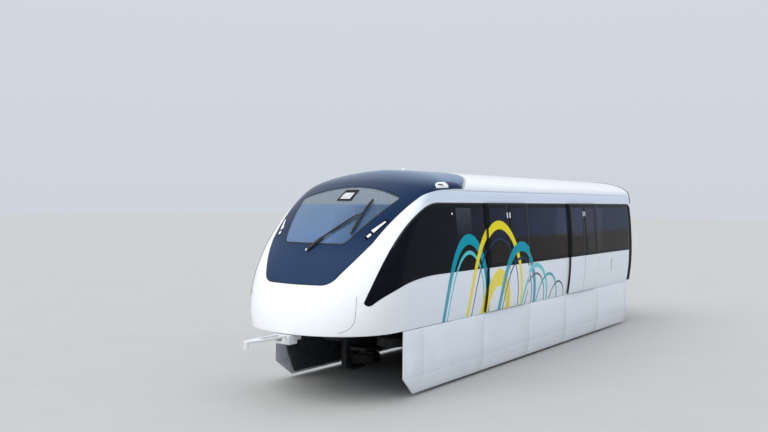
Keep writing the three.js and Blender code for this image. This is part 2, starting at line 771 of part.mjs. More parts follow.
function bogieFrame(centre) {
  const x = at(centre);
  const span = (a, b) => [x + a, x + b];
  const about = (reach) => span(-reach, reach);
  const [plateOut, beamIn, beamOut] = [SIDE_PLATE.y[1], ...SIDE_BEAM.y];
  const pieces = [
    twinBox(about(SIDE_PLATE.reach), SIDE_PLATE.y, SIDE_PLATE.z),
    twinBox(about(SIDE_BEAM.reach), SIDE_BEAM.y, SIDE_BEAM.z),
    twinBox(about(SPRING_DECK.reach), [plateOut - OVERLAP, beamIn + OVERLAP], SPRING_DECK.z),
    twinBox(about(LEG.reach), SIDE_BEAM.y, LEG.z),
    twinBox(about(LEG.reach), [SHOE.y, beamIn + OVERLAP], SHOE.z),
    twinBox(about(STABILISER_ARM.reach), [STABILISER_ARM.y, beamIn + OVERLAP], STABILISER_ARM.z),
  ];
  for (const start of CROSS_BEAM.starts) {
    pieces.push(box(span(start, start + CROSS_BEAM.depth), [-beamOut, beamOut], CROSS_BEAM.z));
  }
  const spindle = (px, py, middle, top) => [
    rod("z", SPINDLE_RADIUS, [middle - 110, top], [px, py], 12),
    rod("z", SPINDLE_END.radius, SPINDLE_END.below.map((drop) => middle - drop), [px, py], 12),
  ];
  for (const side of [1, -1]) {
    const y = side * GUIDE_Y;
    pieces.push(rod("z", SPRING.radius, SPRING.z, [x, side * SPRING.y], 20));
    pieces.push(...spindle(x, y, STABILISER_Z, STABILISER_ARM.z[0] + 10));
    for (const end of [1, -1]) {
      const gx = x + end * GUIDE_X;
      pieces.push(...spindle(gx, y, GUIDE_Z, 1200));
      pieces.push(rod("z", COLLAR.radius, [GUIDE_Z + COLLAR.above, 1190], [gx, y], 12));
    }
  }
  for (const end of [1, -1]) {
    const { reach, z } = GUIDE_BRACKET;
    const gx = end * GUIDE_X;
    pieces.push(twinBox(span(gx - reach, gx + reach), [GUIDE_Y - 100, beamIn + OVERLAP], z));
  }
  const { radius, half } = AXLE_BORE;
  return union(pieces).subtract(rod("y", radius, [-half, half], [x, AXLE_Z], 20));
}

// Places ahead of the axle, and radii, of the motor's body, end cap and mounting flange
const MOTOR = { z: 1285, body: [705, 1120], radius: 110, cap: [1110, 1160], capRadius: 85 };
const MOTOR_FLANGE = { from: 701, to: 730, half: 170, z: [1165, 1335] };

function tractionMotor(centre) {
  const x = at(centre);
  const ahead = ([a, b]) => [x + a, x + b];
  const { from, to, half, z } = MOTOR_FLANGE;
  return union([
    rod("x", MOTOR.radius, ahead(MOTOR.body), [0, MOTOR.z], 18),
    rod("x", MOTOR.capRadius, ahead(MOTOR.cap), [0, MOTOR.z], 18),
    box(ahead([from, to]), [-half, half], z),
  ]);
}

// Half the section of an axle with its hubs and twin tyres: [radius, offset from the centre plane]
const AXLE_PROFILE = [
  [0, 458],
  [62, 458],
  [62, 345],
  [210, 340],
  [255, 315],
  [LOAD_TYRE_RADIUS - 60, 320],
  [LOAD_TYRE_RADIUS, 285],
  [LOAD_TYRE_RADIUS, 65],
  [LOAD_TYRE_RADIUS - 60, 28],
  [300, 28],
  [300, 0],
];

function loadWheels(centre) {
  const other = AXLE_PROFILE.slice(0, -1).reverse().map(([r, h]) => [r, -h]);
  return turned([...AXLE_PROFILE, ...other], "y", [at(centre), 0, AXLE_Z], 24);
}

// Half the section of a guide wheel: [radius, offset from its middle plane]
const GUIDE_PROFILE = [
  [36, 60],
  [150, 60],
  [180, GUIDE_HALF_WIDTH],
  [280, GUIDE_HALF_WIDTH],
  [GUIDE_RADIUS, 65],
];
const guideWheel = (x, y, z) => {
  const under = [...GUIDE_PROFILE].reverse().map(([r, h]) => [r, -h]);
  return turned([...GUIDE_PROFILE, ...under], "z", [x, y, z], 16);
};

// Assembly

const car = new THREE.Group();
const add = (name, body, finish, parent = car) => parent.add(meshOf(name, body, finish));

add("underframe", underframe(), FRAME_PAINT);
add("nose_shell", noseShell(), WHITE_PAINT);
add("front_mask", frontMask(), NAVY_GLOSS);
add("windscreen", skin(0, GLASS).intersect(screenRegion(0)), CLEAR_GLASS);
add("wiper", wiper(), BLACK_RUBBER);
add("roof_shell", roofShell(), WHITE_PAINT);
add("rear_end_wall", rearEndWall(), TRIM_GREY);
add("gangway_bellows", gangwayBellows(), BELLOWS_CLOTH);
add("front_coupler", frontCoupler(), STEEL_GREY);
add("rear_drawbar", rearDrawbar(), STEEL_GREY);
add("ceiling_with_grab_rails", ceilingWithRails(), TRIM_GREY);
add("driver_desk", driverDesk(), TRIM_GREY);

const lamp = shell.intersect(lampRegion(0));
const wall = sideWall();
const apron = skirt();
for (const [side, place] of [["left", (body) => body], ["right", mirrorY]]) {
  add("headlamp_" + side, place(lamp), LAMP_LENS);
  add("side_wall_" + side, place(wall), WHITE_PAINT);
  add("skirt_" + side, place(apron), WHITE_PAINT);
  for (const window of SIDE_WINDOWS) {
    add("window_" + window.name + "_" + side, place(pane(window)), TINTED_GLASS);
  }
  for (const [i, centre] of DOOR_CENTRES.entries()) {
    for (const [half, sign] of [["a", 1], ["b", -1]]) {
      const door = "door_" + (i + 1) + half + "_" + side;
      add(door, place(doorLeaf(centre, sign)), WHITE_PAINT);
      add(door + "_glass", place(doorPane(centre, sign)), TINTED_GLASS);
    }
  }
}

for (const [end, centre] of Object.entries(BOGIE_CENTRES)) {
  add("housing_with_seats_" + end, housingWithSeats(centre), SEAT_BLUE);
  add("bogie_frame_" + end, bogieFrame(centre), FRAME_PAINT);
  add("traction_motor_" + end, tractionMotor(centre), STEEL_GREY);
  add("load_wheels_" + end, loadWheels(centre), BLACK_RUBBER);
  for (const [side, sign] of [["left", 1], ["right", -1]]) {
    const y = sign * GUIDE_Y;
    const x = at(centre);
    add(`guide_wheel_${end}_${side}_lead`, guideWheel(x + GUIDE_X, y, GUIDE_Z), BLACK_RUBBER);
    add(`guide_wheel_${end}_${side}_trail`, guideWheel(x - GUIDE_X, y, GUIDE_Z), BLACK_RUBBER);
    add(`stabiliser_wheel_${end}_${side}`, guideWheel(x, y, STABILISER_Z), BLACK_RUBBER);
  }
}

export default car;
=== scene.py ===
# Looks of a straddle-beam monorail end car: painted skins, glass, seals, doors, lamps, wheels and seats.
# Metres. +X is forward, +Y is the car's left side, +Z is up. Lengths named d run back from the nose tip.

import json
import math

import bpy
import numpy as np
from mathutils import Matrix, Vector


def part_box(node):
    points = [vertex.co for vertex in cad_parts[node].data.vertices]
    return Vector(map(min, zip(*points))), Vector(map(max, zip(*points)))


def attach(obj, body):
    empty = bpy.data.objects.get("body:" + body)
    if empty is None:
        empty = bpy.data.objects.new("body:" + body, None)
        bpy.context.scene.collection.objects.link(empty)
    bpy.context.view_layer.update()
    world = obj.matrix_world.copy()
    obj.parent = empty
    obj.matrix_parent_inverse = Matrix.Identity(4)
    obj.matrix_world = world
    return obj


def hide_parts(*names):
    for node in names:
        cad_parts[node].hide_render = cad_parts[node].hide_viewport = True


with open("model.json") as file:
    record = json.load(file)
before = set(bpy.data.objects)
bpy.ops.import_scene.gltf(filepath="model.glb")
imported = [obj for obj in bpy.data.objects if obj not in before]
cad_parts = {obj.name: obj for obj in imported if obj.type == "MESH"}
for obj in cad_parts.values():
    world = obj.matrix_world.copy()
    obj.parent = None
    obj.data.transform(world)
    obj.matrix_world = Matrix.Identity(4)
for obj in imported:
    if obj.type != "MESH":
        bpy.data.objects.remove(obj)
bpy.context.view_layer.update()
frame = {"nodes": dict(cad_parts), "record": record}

# Overall places, from the frame
NOSE_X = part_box("nose_shell")[1].x
ROOF_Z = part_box("roof_shell")[1].z
SOLE_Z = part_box("side_wall_left")[0].z
CAR_REAR = NOSE_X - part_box("roof_shell")[0].x
BODY_REAR = NOSE_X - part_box("side_wall_left")[0].x
CAB_JOINT = NOSE_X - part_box("side_wall_left")[1].x

# Body section
WAIST_Z = 2.1
SHOULDER_Z = 3.64
HALF_WIDTH = 1.56
CURVE_ABOVE_WAIST = 0.05
CURVE_BELOW_WAIST = 0.1
ROOF_FULLNESS = 1 / 2.4
WALL = 0.055

# Nose, seen from the side and from above
NOSE_LENGTH = 2.983
NOSE_RISE = 1.81
NOSE_FULLNESS = 1 / 1.352
NOSE_DEPTH_LOW = 1.265
NOSE_DEPTH_HIGH = 0.486
NOSE_DEPTH_TOP_Z = 3.6
PLAN_BLUNTNESS = 2.14
SPINE_D = 2.9
SPINE_Z = 2.3
HALVINGS = 34
LONGEST_PULL = 8.0

# Window band, doors and their clearances
SILL_Z = 2.115
BAND_TOP_Z = 3.385
GLASS_PROUD = 0.004
GLASS_THICK = 0.012
BORDER = 0.07
LEAF_PROUD = 0.048
LEAF_THICK = 0.036
LEAF_SPLIT = 0.004
LEAF_LOW, LEAF_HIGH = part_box("door_1a_left")
LEAF_WIDTH = LEAF_HIGH.x - LEAF_LOW.x + LEAF_SPLIT
LEAF_Z = (LEAF_LOW.z, LEAF_HIGH.z)
DOOR_CENTRES = [
    NOSE_X - (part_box(f"door_{n}a_left")[0].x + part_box(f"door_{n}b_left")[1].x) / 2 for n in (1, 2)
]
DOORWAY_HALF = LEAF_WIDTH - 0.045
FLOOR_Z = 1.55
DOORWAY_Z = (FLOOR_Z, 3.36)
SEAM = 0.004
MASK_SEAM = 0.016
CAB_GAP = 0.001

# Bogies
BOGIES = {
    end: (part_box(f"load_wheels_{end}")[0].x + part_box(f"load_wheels_{end}")[1].x) / 2
    for end in ("front", "rear")
}
AXLE_Z = 1.6
SIDES = {"left": 1, "right": -1}
ACROSS = np.array([1, -1, 1])


# The hull

def side_half(z, inset=0.0):
    curve = np.where(z > WAIST_Z, CURVE_ABOVE_WAIST, CURVE_BELOW_WAIST)
    wall = HALF_WIDTH - inset - curve * (np.minimum(z, SHOULDER_Z) - WAIST_Z) ** 2
    climb = np.clip((z - SHOULDER_Z) / (ROOF_Z - inset - SHOULDER_Z), 0, 1)
    return wall * (1 - climb**2) ** ROOF_FULLNESS


def nose_setback(z, inset=0.0):
    climb = np.clip((z - SOLE_Z) / (ROOF_Z - inset - SOLE_Z), 0, 1)
    return inset + NOSE_LENGTH * (1 - (1 - climb**NOSE_RISE) ** NOSE_FULLNESS)


def nose_depth(z):
    climb = np.clip((z - SOLE_Z) / (NOSE_DEPTH_TOP_Z - SOLE_Z), 0, 1)
    return NOSE_DEPTH_LOW + (NOSE_DEPTH_HIGH - NOSE_DEPTH_LOW) * climb


def front_d(y, z, inset=0.0):
    """How far behind the nose tip the hull lies at a place in the front view."""
    share = np.clip(np.abs(y) / np.maximum(side_half(z, inset), 1e-6), 0, 1)
    bend = 1 - (1 - share**PLAN_BLUNTNESS) ** (1 / PLAN_BLUNTNESS)
    return nose_setback(z, inset) + nose_depth(z) * bend


def side_y(d, z, inset):
    """Half the hull's width at a place in the side view."""
    share = np.clip((d - nose_setback(z, inset)) / nose_depth(z), 0, 1)
    return side_half(z, inset) * (1 - (1 - share) ** PLAN_BLUNTNESS) ** (1 / PLAN_BLUNTNESS)


def inside(points, inset=0.0):
    x, y, z = points[..., 0], np.abs(points[..., 1]), points[..., 2]
    low_enough = (z < ROOF_Z - inset) & (y < side_half(z, inset))
    return low_enough & (NOSE_X - x > front_d(y, z, inset))


def bisected(low, high, holds):
    """The largest values between low and high for which a test holds."""
    for _ in range(HALVINGS):
        middle = (low + high) / 2
        held = holds(middle)
        low = np.where(held, middle, low)
        high = np.where(held, high, middle)
    return low


def roof_z(d, y):
    """The hull's height at a place seen from above."""
    low, high = (np.full(np.shape(d), z) for z in (SPINE_Z, ROOF_Z))
    return bisected(low, high, lambda z: inside(np.stack([NOSE_X - d, y, z], -1)))


def spine_below(points):
    """The nearest places to some points on a line along the car's middle, which stops behind the nose."""
    root = np.zeros(points.shape)
    root[..., 0] = np.minimum(points[..., 0], NOSE_X - SPINE_D)
    root[..., 2] = SPINE_Z
    return root


def pulled(points, inset=0.0):
    """Points moved straight out from the car's middle line until they lie on the hull."""
    root = spine_below(points)
    ray = points - root
    low, high = (np.full(points.shape[:-1], share) for share in (0.0, LONGEST_PULL))
    share = bisected(low, high, lambda share: inside(root + ray * share[..., None], inset))
    return root + ray * share[..., None]


def sideways(points, inset=0.0):
    """Points moved across the car until they lie on the hull, on the side they are on."""
    x, y, z = points[..., 0], points[..., 1], points[..., 2]
    return np.stack([x, np.sign(y) * side_y(NOSE_X - x, z, inset), z], -1)


# Lines: pairs of numbers in one view, and the points on the hull that they stand for

def steps(start, end, count):
    return np.linspace(start, end, count + 1)


def arc(start, bend, end, count):
    """A quadratic curve in the plane of one view."""
    t = np.linspace(0, 1, count + 1)[:, None]
    start, bend, end = (np.array(p, float) for p in (start, bend, end))
    return (1 - t) ** 2 * start + 2 * t * (1 - t) * bend + t**2 * end


def swing(start, leave, arrive, end, count):
    """A cubic curve in the plane of one view."""
    t = np.linspace(0, 1, count + 1)[:, None]
    start, leave, arrive, end = (np.array(p, float) for p in (start, leave, arrive, end))
    return (1 - t) ** 3 * start + 3 * t * (1 - t) ** 2 * leave + 3 * t**2 * (1 - t) * arrive + t**3 * end


def joined(*runs):
    """Runs end to end, without the points that they share."""
    return np.concatenate([runs[0], *[run[1:] for run in runs[1:]]])


def traced(start, *legs):
    """Legs end to end. A leg is its count of steps, then its end, with one or two bends before it."""
    runs = []
    for count, *points in legs:
        leg = (steps, arc, swing)[len(points) - 1]
        runs.append(leg(start, *points, count))
        start = points[-1]
    return joined(*runs)


def level(ds, z):
    """Pairs for a line at one height."""
    return np.stack([ds, np.full(len(ds), z)], -1)


def in_front(pairs):
    y, z = np.array(pairs, float).T
    return np.stack([NOSE_X - front_d(y, z), y, z], -1)


def on_side(pairs, inset=0.0, side=1):
    d, z = np.array(pairs, float).T
    return np.stack([NOSE_X - d, side * side_y(d, z, inset), z], -1)


def from_above(pairs):
    d, y = np.array(pairs, float).T
    return np.stack([NOSE_X - d, y, roof_z(d, y)], -1)


def level_line(z, far_d, count):
    """The hull's outline at one height, from far_d round to the middle of the nose, evenly spaced."""
    turn = np.linspace(0, math.pi / 2, 200)
    bend = 1 - np.cos(turn) ** (2 / PLAN_BLUNTNESS)
    d = nose_setback(z) + nose_depth(z) * bend
    y = side_half(z) * np.sin(turn) ** (2 / PLAN_BLUNTNESS)
    d = np.append(d, far_d)[::-1]
    y = np.append(y, y[-1])[::-1]
    run = np.concatenate([[0], np.cumsum(np.hypot(np.diff(d), np.diff(y)))])
    wanted = np.linspace(0, run[-1], count + 1)
    dd, yy = np.interp(wanted, run, d), np.interp(wanted, run, y)
    return np.stack([NOSE_X - dd, yy, np.full(len(dd), z)], -1)


def hoop(d, low_z, count):
    """The hull's outline across the car over the roof, down to low_z on both sides."""
    turn = np.linspace(0, math.pi, 400)
    rough = np.stack([np.full(len(turn), NOSE_X - d), 2 * np.cos(turn), SPINE_Z + 2 * np.sin(turn)], -1)
    line = pulled(rough)
    line = line[line[:, 2] >= low_z]
    return line[np.rint(np.linspace(0, len(line) - 1, count + 1)).astype(int)]


def both_halves(half):
    """A left half line that ends on the middle plane, carried on to the right side.

    A half line that starts there too gives a closed line.
    """
    return np.concatenate([half, (half[::-1] * ACROSS)[1:]])


# Making and finishing pieces

def deselect():
    bpy.ops.object.select_all(action="DESELECT")


def only(piece):
    deselect()
    piece.select_set(True)
    bpy.context.view_layer.objects.active = piece


def edit(piece, work, kind="FACE", chosen=None):
    """Works on a piece in edit mode: on all of it, or on the faces or edges for which chosen is true."""
    only(piece)
    bpy.ops.object.mode_set(mode="EDIT")
    bpy.ops.mesh.select_mode(type=kind)
    bpy.ops.mesh.select_all(action="SELECT" if chosen is None else "DESELECT")
    if chosen is not None:
        bpy.ops.object.mode_set(mode="OBJECT")
        parts = piece.data.polygons if kind == "FACE" else piece.data.edges
        parts.foreach_set("select", np.array(chosen, bool))
        bpy.ops.object.mode_set(mode="EDIT")
    work()
    bpy.ops.object.mode_set(mode="OBJECT")


def merge_doubles(piece, distance=1e-4):
    edit(piece, lambda: bpy.ops.mesh.remove_doubles(threshold=distance))


def turn_faces(piece, inside=False):
    """Makes all faces look out of a closed or round piece, or into it."""
    edit(piece, lambda: bpy.ops.mesh.normals_make_consistent(inside=inside))


def drop_faces(piece, chosen):
    edit(piece, lambda: bpy.ops.mesh.delete(type="FACE"), "FACE", chosen)


def round_edges(piece, chosen, width, segments):
    edit(piece, lambda: bpy.ops.mesh.bevel(offset=width, segments=segments, affect="EDGES"), "EDGE", chosen)


def listed(parts, key, size=3, kind=float):
    """What a mesh says of each of its vertices, edges or faces, as rows of numbers."""
    flat = np.empty(len(parts) * size, kind)
    parts.foreach_get(key, flat)
    return flat.reshape(-1, size)


def corners(piece):
    return listed(piece.data.vertices, "co")


def normals(piece):
    return listed(piece.data.polygons, "normal")


def centres(piece):
    return listed(piece.data.polygons, "center")


def face_places(piece):
    """How far behind the nose tip and how high each face of a piece lies."""
    at = centres(piece)
    return NOSE_X - at[:, 0], at[:, 2]


def place_corners(piece, points):
    piece.data.vertices.foreach_set("co", np.ascontiguousarray(points, float).ravel())
    piece.data.update()


def modify(piece, kind, **settings):
    only(piece)
    modifier = piece.modifiers.new(kind.title(), kind)
    for key, value in settings.items():
        setattr(modifier, key, value)
    bpy.ops.object.modifier_apply(modifier=modifier.name)


def bevel(piece, width, segments=2, over=50):
    """Rounds the edges at which faces meet at more than an angle in degrees."""
    sharp = math.radians(over)
    modify(piece, "BEVEL", width=width, segments=segments, limit_method="ANGLE", angle_limit=sharp)


def smooth(piece, angle=35):
    only(piece)
    bpy.ops.object.shade_smooth_by_angle(angle=math.radians(angle))


def primitive(name, add, **settings):
    """A new piece from one of Blender's add operators."""
    deselect()
    add(**settings)
    piece = bpy.context.object
    piece.name = name
    return piece


def linked(name, data):
    """A new object in the scene that holds some data."""
    thing = bpy.data.objects.new(name, data)
    bpy.context.scene.collection.objects.link(thing)
    return thing


def grid(name, columns, rows):
    """A flat grid, and the column and row of each of its corners."""
    sizes = {"x_subdivisions": columns, "y_subdivisions": rows, "size": 1}
    piece = primitive(name, bpy.ops.mesh.primitive_grid_add, **sizes)
    share = corners(piece)[:, :2] + 0.5
    along, across = np.rint(share * (columns, rows)).astype(int).T
    return piece, along, across


def facing_out(piece, centre=None):
    """Turns a sheet's faces so that they look away from a centre, or else from the car's middle line."""
    at = centres(piece)
    away = at - (spine_below(at) if centre is None else np.array(centre))
    if (normals(piece) * away).sum() < 0:
        edit(piece, bpy.ops.mesh.flip_normals)


def sheet(name, near, far, rows, fit=pulled, inset=0.0):
    """A sheet of the hull between two lines. rows is a number, or the shares at which rows lie."""
    shares = steps(0, 1, rows) if np.isscalar(rows) else np.array(rows)
    piece, along, across = grid(name, len(near) - 1, len(shares) - 1)
    share = shares[across][:, None]
    points = near[along] * (1 - share) + far[along] * share
    place_corners(piece, fit(points, inset) if fit else points)
    merge_doubles(piece)
    facing_out(piece)
    return piece


def dress(piece, *materials):
    """Adds materials. Those after the first are for a skin's rims and inner face, as thick is told."""
    for material in materials:
        piece.data.materials.append(material)
    return piece


def thick(piece, depth, edge=0.0, inner=0, rim=0):
    """Gives a sheet its thickness, inward. inner and rim are the numbers of their materials, if others."""
    modify(piece, "SOLIDIFY", thickness=depth, offset=-1, material_offset=inner, material_offset_rim=rim)
    if edge:
        bevel(piece, edge)
    smooth(piece, 25)
    return piece


def ribbon(name, line, width, depth, fit=pulled, inset=0.0, edge=0.0, closed=False):
    """A thin strip on the hull that follows a line of points."""
    if closed:
        tangent = np.roll(line[:-1], -1, 0) - np.roll(line[:-1], 1, 0)
        tangent = np.concatenate([tangent, tangent[:1]])
    else:
        tangent = np.gradient(line, axis=0)
    across = np.cross(tangent, line - spine_below(line))
    across *= width / 2 / np.linalg.norm(across, axis=1)[:, None]
    return thick(sheet(name, line - across, line + across, 2, fit, inset), depth, edge)


def join(name, pieces):
    deselect()
    for piece in pieces:
        piece.select_set(True)
    bpy.context.view_layer.objects.active = pieces[0]
    if len(pieces) > 1:
        bpy.ops.object.join()
    pieces[0].name = name
    return pieces[0]


def duplicate(piece):
    """A copy of a piece with its own mesh."""
    twin = piece.copy()
    twin.data = piece.data.copy()
    bpy.context.scene.collection.objects.link(twin)
    return twin


def mirrored(piece):
    """A copy of a left piece on the car's right side."""
    twin = duplicate(piece)
    twin.name = piece.name.replace("left", "right")
    place_corners(twin, corners(twin) * ACROSS)
    edit(twin, bpy.ops.mesh.flip_normals)
    smooth(twin)
    return twin


def finished(piece, materials, body="body", replaces=()):
    """Gives a piece its materials, its body and the CAD nodes that it stands for."""
    if not piece.data.materials:
        dress(piece, *(materials if isinstance(materials, list) else [materials]))
    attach(piece, body)
    if replaces:
        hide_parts(*replaces)
    return piece


def finished_pair(piece, materials, body="body", replaces=()):
    """The same for a left piece and its twin on the right, whose body and nodes are those of its side."""
    finished(piece, materials, body, replaces)
    nodes = [node.replace("left", "right") for node in replaces]
    finished(mirrored(piece), None, body.replace("left", "right"), nodes)


def body_of(node):
    groups = frame["record"]["behaviour"]["bodies"]
    return next(body for body, members in groups.items() if node in members)


def softened(node, materials, edge=0.006, segments=2):
    """A CAD node's own shape with rounded edges, which takes the node's place."""
    piece = linked(node + "_finished", frame["nodes"][node].data.copy())
    piece.data.materials.clear()
    merge_doubles(piece)
    edit(piece, lambda: bpy.ops.mesh.dissolve_limited(angle_limit=math.radians(1)))
    bevel(piece, edge, segments)
    smooth(piece)
    return finished(piece, materials, body_of(node), [node])


def spun(name, profile, centre, axis, around):
    """A section of [radius, offset] turned about a line through a centre, parallel to an axis."""
    piece, along, across = grid(name, around, len(profile) - 1)
    radius, offset = np.array(profile).T
    turn = 2 * math.pi * along / around
    ring = [radius[across] * np.cos(turn), radius[across] * np.sin(turn)]
    ring.insert("xyz".index(axis), offset[across])
    place_corners(piece, np.stack(ring, -1) + np.array(centre))
    merge_doubles(piece, 1e-5)
    turn_faces(piece)
    smooth(piece, 40)
    return piece


def block(name, low, high, edge, segments=3):
    """A box with rounded edges between two corners."""
    piece = primitive(name, bpy.ops.mesh.primitive_cube_add, size=1)
    low, high = np.array(low), np.array(high)
    place_corners(piece, (corners(piece) + 0.5) * (high - low) + low)
    bevel(piece, edge, segments, over=30)
    smooth(piece)
    return piece


def bolt_ring(centre, axis, radius, count, size):
    """Hexagonal bolt heads round a centre, with their axes along one axis of the frame."""
    cylinder = {"vertices": 6, "radius": size, "depth": size * 1.2}
    bolt = primitive("bolt", bpy.ops.mesh.primitive_cylinder_add, **cylinder)
    about = {"x": "Y", "y": "X"}.get(axis)
    if about:
        turn = {"value": math.pi / 2, "orient_axis": about, "center_override": (0, 0, 0)}
        edit(bolt, lambda: bpy.ops.transform.rotate(**turn))
    at_centre = corners(bolt) + np.array(centre)
    bolts = [bolt, *[duplicate(bolt) for _ in range(count - 1)]]
    for i, each in enumerate(bolts):
        angle = 2 * math.pi * (i + 0.5) / count
        offset = [radius * math.cos(angle), radius * math.sin(angle)]
        offset.insert("xyz".index(axis), 0.0)
        place_corners(each, at_centre + np.array(offset))
    return bolts


def paint_faces(piece, index, chosen):
    """Gives the chosen faces the material with this number."""
    numbers = listed(piece.data.polygons, "material_index", 1, np.int32).ravel()
    numbers[chosen] = index
    piece.data.polygons.foreach_set("material_index", numbers)


# Materials

class Wire:
    """A value in a material's node tree. Sums and products of wires add Math nodes."""

    def __init__(self, finish, socket):
        self.finish = finish
        self.socket = socket

    def math(self, operation, first, second=0.0):
        return self.finish.node("ShaderNodeMath", {"operation": operation}, {0: first, 1: second})

    def __add__(self, other):
        return self.math("ADD", self, other)

    def __sub__(self, other):
        return self.math("SUBTRACT", self, other)

    def __rsub__(self, other):
        return self.math("SUBTRACT", other, self)

    def __mul__(self, other):
        return self.math("MULTIPLY", self, other)

    def __pow__(self, other):
        return self.math("POWER", self, other)

    def __abs__(self):
        return self.math("ABSOLUTE", self)

    __radd__ = __add__
    __rmul__ = __mul__

    def most(self, other):
        return self.math("MAXIMUM", self, other)

    def ramp(self, low, high):
        """0 below low, 1 above high, and a straight line between them."""
        sockets = {"Value": self, "From Min": low, "From Max": high}
        return self.finish.node("ShaderNodeMapRange", {"clamp": True}, sockets)


class Finish:
    """A material with one Principled shader, and the few ways in which its nodes are added."""

    def __init__(self, name, **sockets):
        self.material = bpy.data.materials.new(name)
        self.material.use_nodes = True
        self.tree = self.material.node_tree
        self.shader = self.tree.nodes["Principled BSDF"]
        self.set(**sockets)
        self.place = self.node("ShaderNodeTexCoord", output="Object")
        parts = self.node("ShaderNodeSeparateXYZ", sockets={0: self.place}).socket.node.outputs
        self.x, self.y, self.z = (Wire(self, socket) for socket in parts)

    @property
    def back(self):
        """How far behind the nose tip a place lies."""
        return NOSE_X - self.x

    def feed(self, socket, value):
        if isinstance(value, Wire):
            self.tree.links.new(value.socket, socket)
        elif socket.type == "RGBA":
            socket.default_value = (*value, 1)
        else:
            socket.default_value = value

    def node(self, kind, settings=None, sockets=None, output=0):
        made = self.tree.nodes.new(kind)
        for key, value in (settings or {}).items():
            setattr(made, key, value)
        for key, value in (sockets or {}).items():
            self.feed(made.inputs[key], value)
        return Wire(self, made.outputs[output])

    def set(self, **sockets):
        for name, value in sockets.items():
            self.feed(self.shader.inputs[name.replace("_", " ")], value)

    def mix(self, factor, first, second):
        return self.node("ShaderNodeMix", {"data_type": "RGBA"}, {0: factor, 6: first, 7: second}, 2)

    def noise(self, scale, detail=3.0, vector=None):
        sockets = {"Vector": vector or self.place, "Scale": scale, "Detail": detail, "Roughness": 0.55}
        return self.node("ShaderNodeTexNoise", None, sockets)

    def stretched(self, x, y, z):
        return self.node("ShaderNodeVectorMath", {"operation": "MULTIPLY"}, {0: self.place, 1: (x, y, z)})

    def bump(self, height, distance):
        self.set(Normal=self.node("ShaderNodeBump", None, {"Height": height, "Distance": distance}))


TEAL = (0.0, 0.34, 0.46)
AQUA = (0.10, 0.60, 0.68)
YELLOW = (0.92, 0.76, 0.02)
NAVY = (0.012, 0.035, 0.10)

# Overlapping arches on the side: places behind the nose tip and heights of their centres, height
# above the centre, width of the stroke, how much narrower than high they are, colour
ARCHES = [
    (3.55, 1.15, 1.66, 0.20, 1.9, TEAL),
    (3.55, 1.15, 1.34, 0.07, 1.9, AQUA),
    (4.75, 1.05, 1.02, 0.34, 1.7, YELLOW),
    (4.75, 1.05, 2.00, 0.17, 1.7, YELLOW),
    (4.75, 1.05, 1.66, 0.05, 1.7, NAVY),
    (5.75, 1.05, 1.54, 0.20, 1.6, TEAL),
    (5.75, 1.05, 1.22, 0.05, 1.6, NAVY),
    (6.62, 1.05, 1.04, 0.10, 1.4, AQUA),
    (6.62, 1.05, 0.82, 0.04, 1.4, NAVY),
    (7.32, 1.05, 0.78, 0.06, 1.3, TEAL),
    (7.90, 1.05, 0.55, 0.04, 1.2, NAVY),
]
ARCH_BLUR = 0.006
DESIGN_END = 8.50


def arches(finish, colour):
    """The side's coloured arches over a ground colour, and how far they cover each place."""
    on_sides = abs(finish.y).ramp(1.30, 1.33)
    before_end = 1 - finish.back.ramp(DESIGN_END, DESIGN_END + ARCH_BLUR)
    covered = None
    for back, height, radius, width, squeeze, paint in ARCHES:
        across = (finish.x - (NOSE_X - back)) * squeeze
        up = finish.z - height
        distance = (across * across + up * up) ** 0.5
        off_line = abs(distance - (radius - width / 2))
        line = (1 - off_line.ramp(width / 2, width / 2 + ARCH_BLUR)) * on_sides * before_end
        colour = finish.mix(line, colour, paint)
        covered = line if covered is None else covered.most(line)
    return colour, covered


# Zones of the paintwork: the places between which each comes in or goes out. The flank and cantrail zones
# hold painted bluish shade and painted sky reflection on the white, the crown and the zone beside the
# screen painted reflections on the navy
GRIME_Z = (0.1, 2.0)
CANTRAIL_Y = (1.28, 1.40)
CANTRAIL_FOOT_Z = (3.36, 3.46)
CANTRAIL_HEAD_Z = (3.62, 3.68)
FLANK_Y = (1.36, 1.50)
FLANK_D = (0.9, 1.6)
CROWN_D = (2.2, 3.15)
CROWN_Z = (3.6, 3.85)
BESIDE_SCREEN_Z = (2.5, 2.9)


def coach_paint(name, design=False):
    """White paint with painted bluish shade on the flanks and a painted bluish sky reflection along the
    cantrail, and grimy low down.
    """
    f = Finish(name, Coat_Roughness=0.05)
    cloud = f.noise(0.7, 2.0)
    grime = (1 - f.z.ramp(*GRIME_Z)) * f.noise(3.0, 5.0).ramp(0.35, 0.75)
    colour = f.mix(cloud, (0.86, 0.88, 0.92), (0.91, 0.93, 0.95))
    half = abs(f.y)
    # Painted light: a bluish sky reflection painted along the cantrail, and bluish shade painted on the
    # flanks
    cantrail_sky_reflection = half.ramp(*CANTRAIL_Y) * f.z.ramp(*CANTRAIL_FOOT_Z) * (1 - f.z.ramp(*CANTRAIL_HEAD_Z))
    flank_shade = half.ramp(*FLANK_Y) * f.back.ramp(*FLANK_D)
    colour = f.mix(flank_shade * 0.7, colour, (0.81, 0.88, 0.98))
    colour = f.mix(cantrail_sky_reflection, colour, (0.71, 0.79, 0.96))
    colour = f.mix(grime * 0.30, colour, (0.58, 0.59, 0.58))
    f.set(Base_Color=arches(f, colour)[0] if design else colour)
    f.set(Roughness=0.29 + f.noise(2.5) * 0.08 + grime * 0.2, Coat_Weight=0.6 - grime * 0.4)
    return f.material


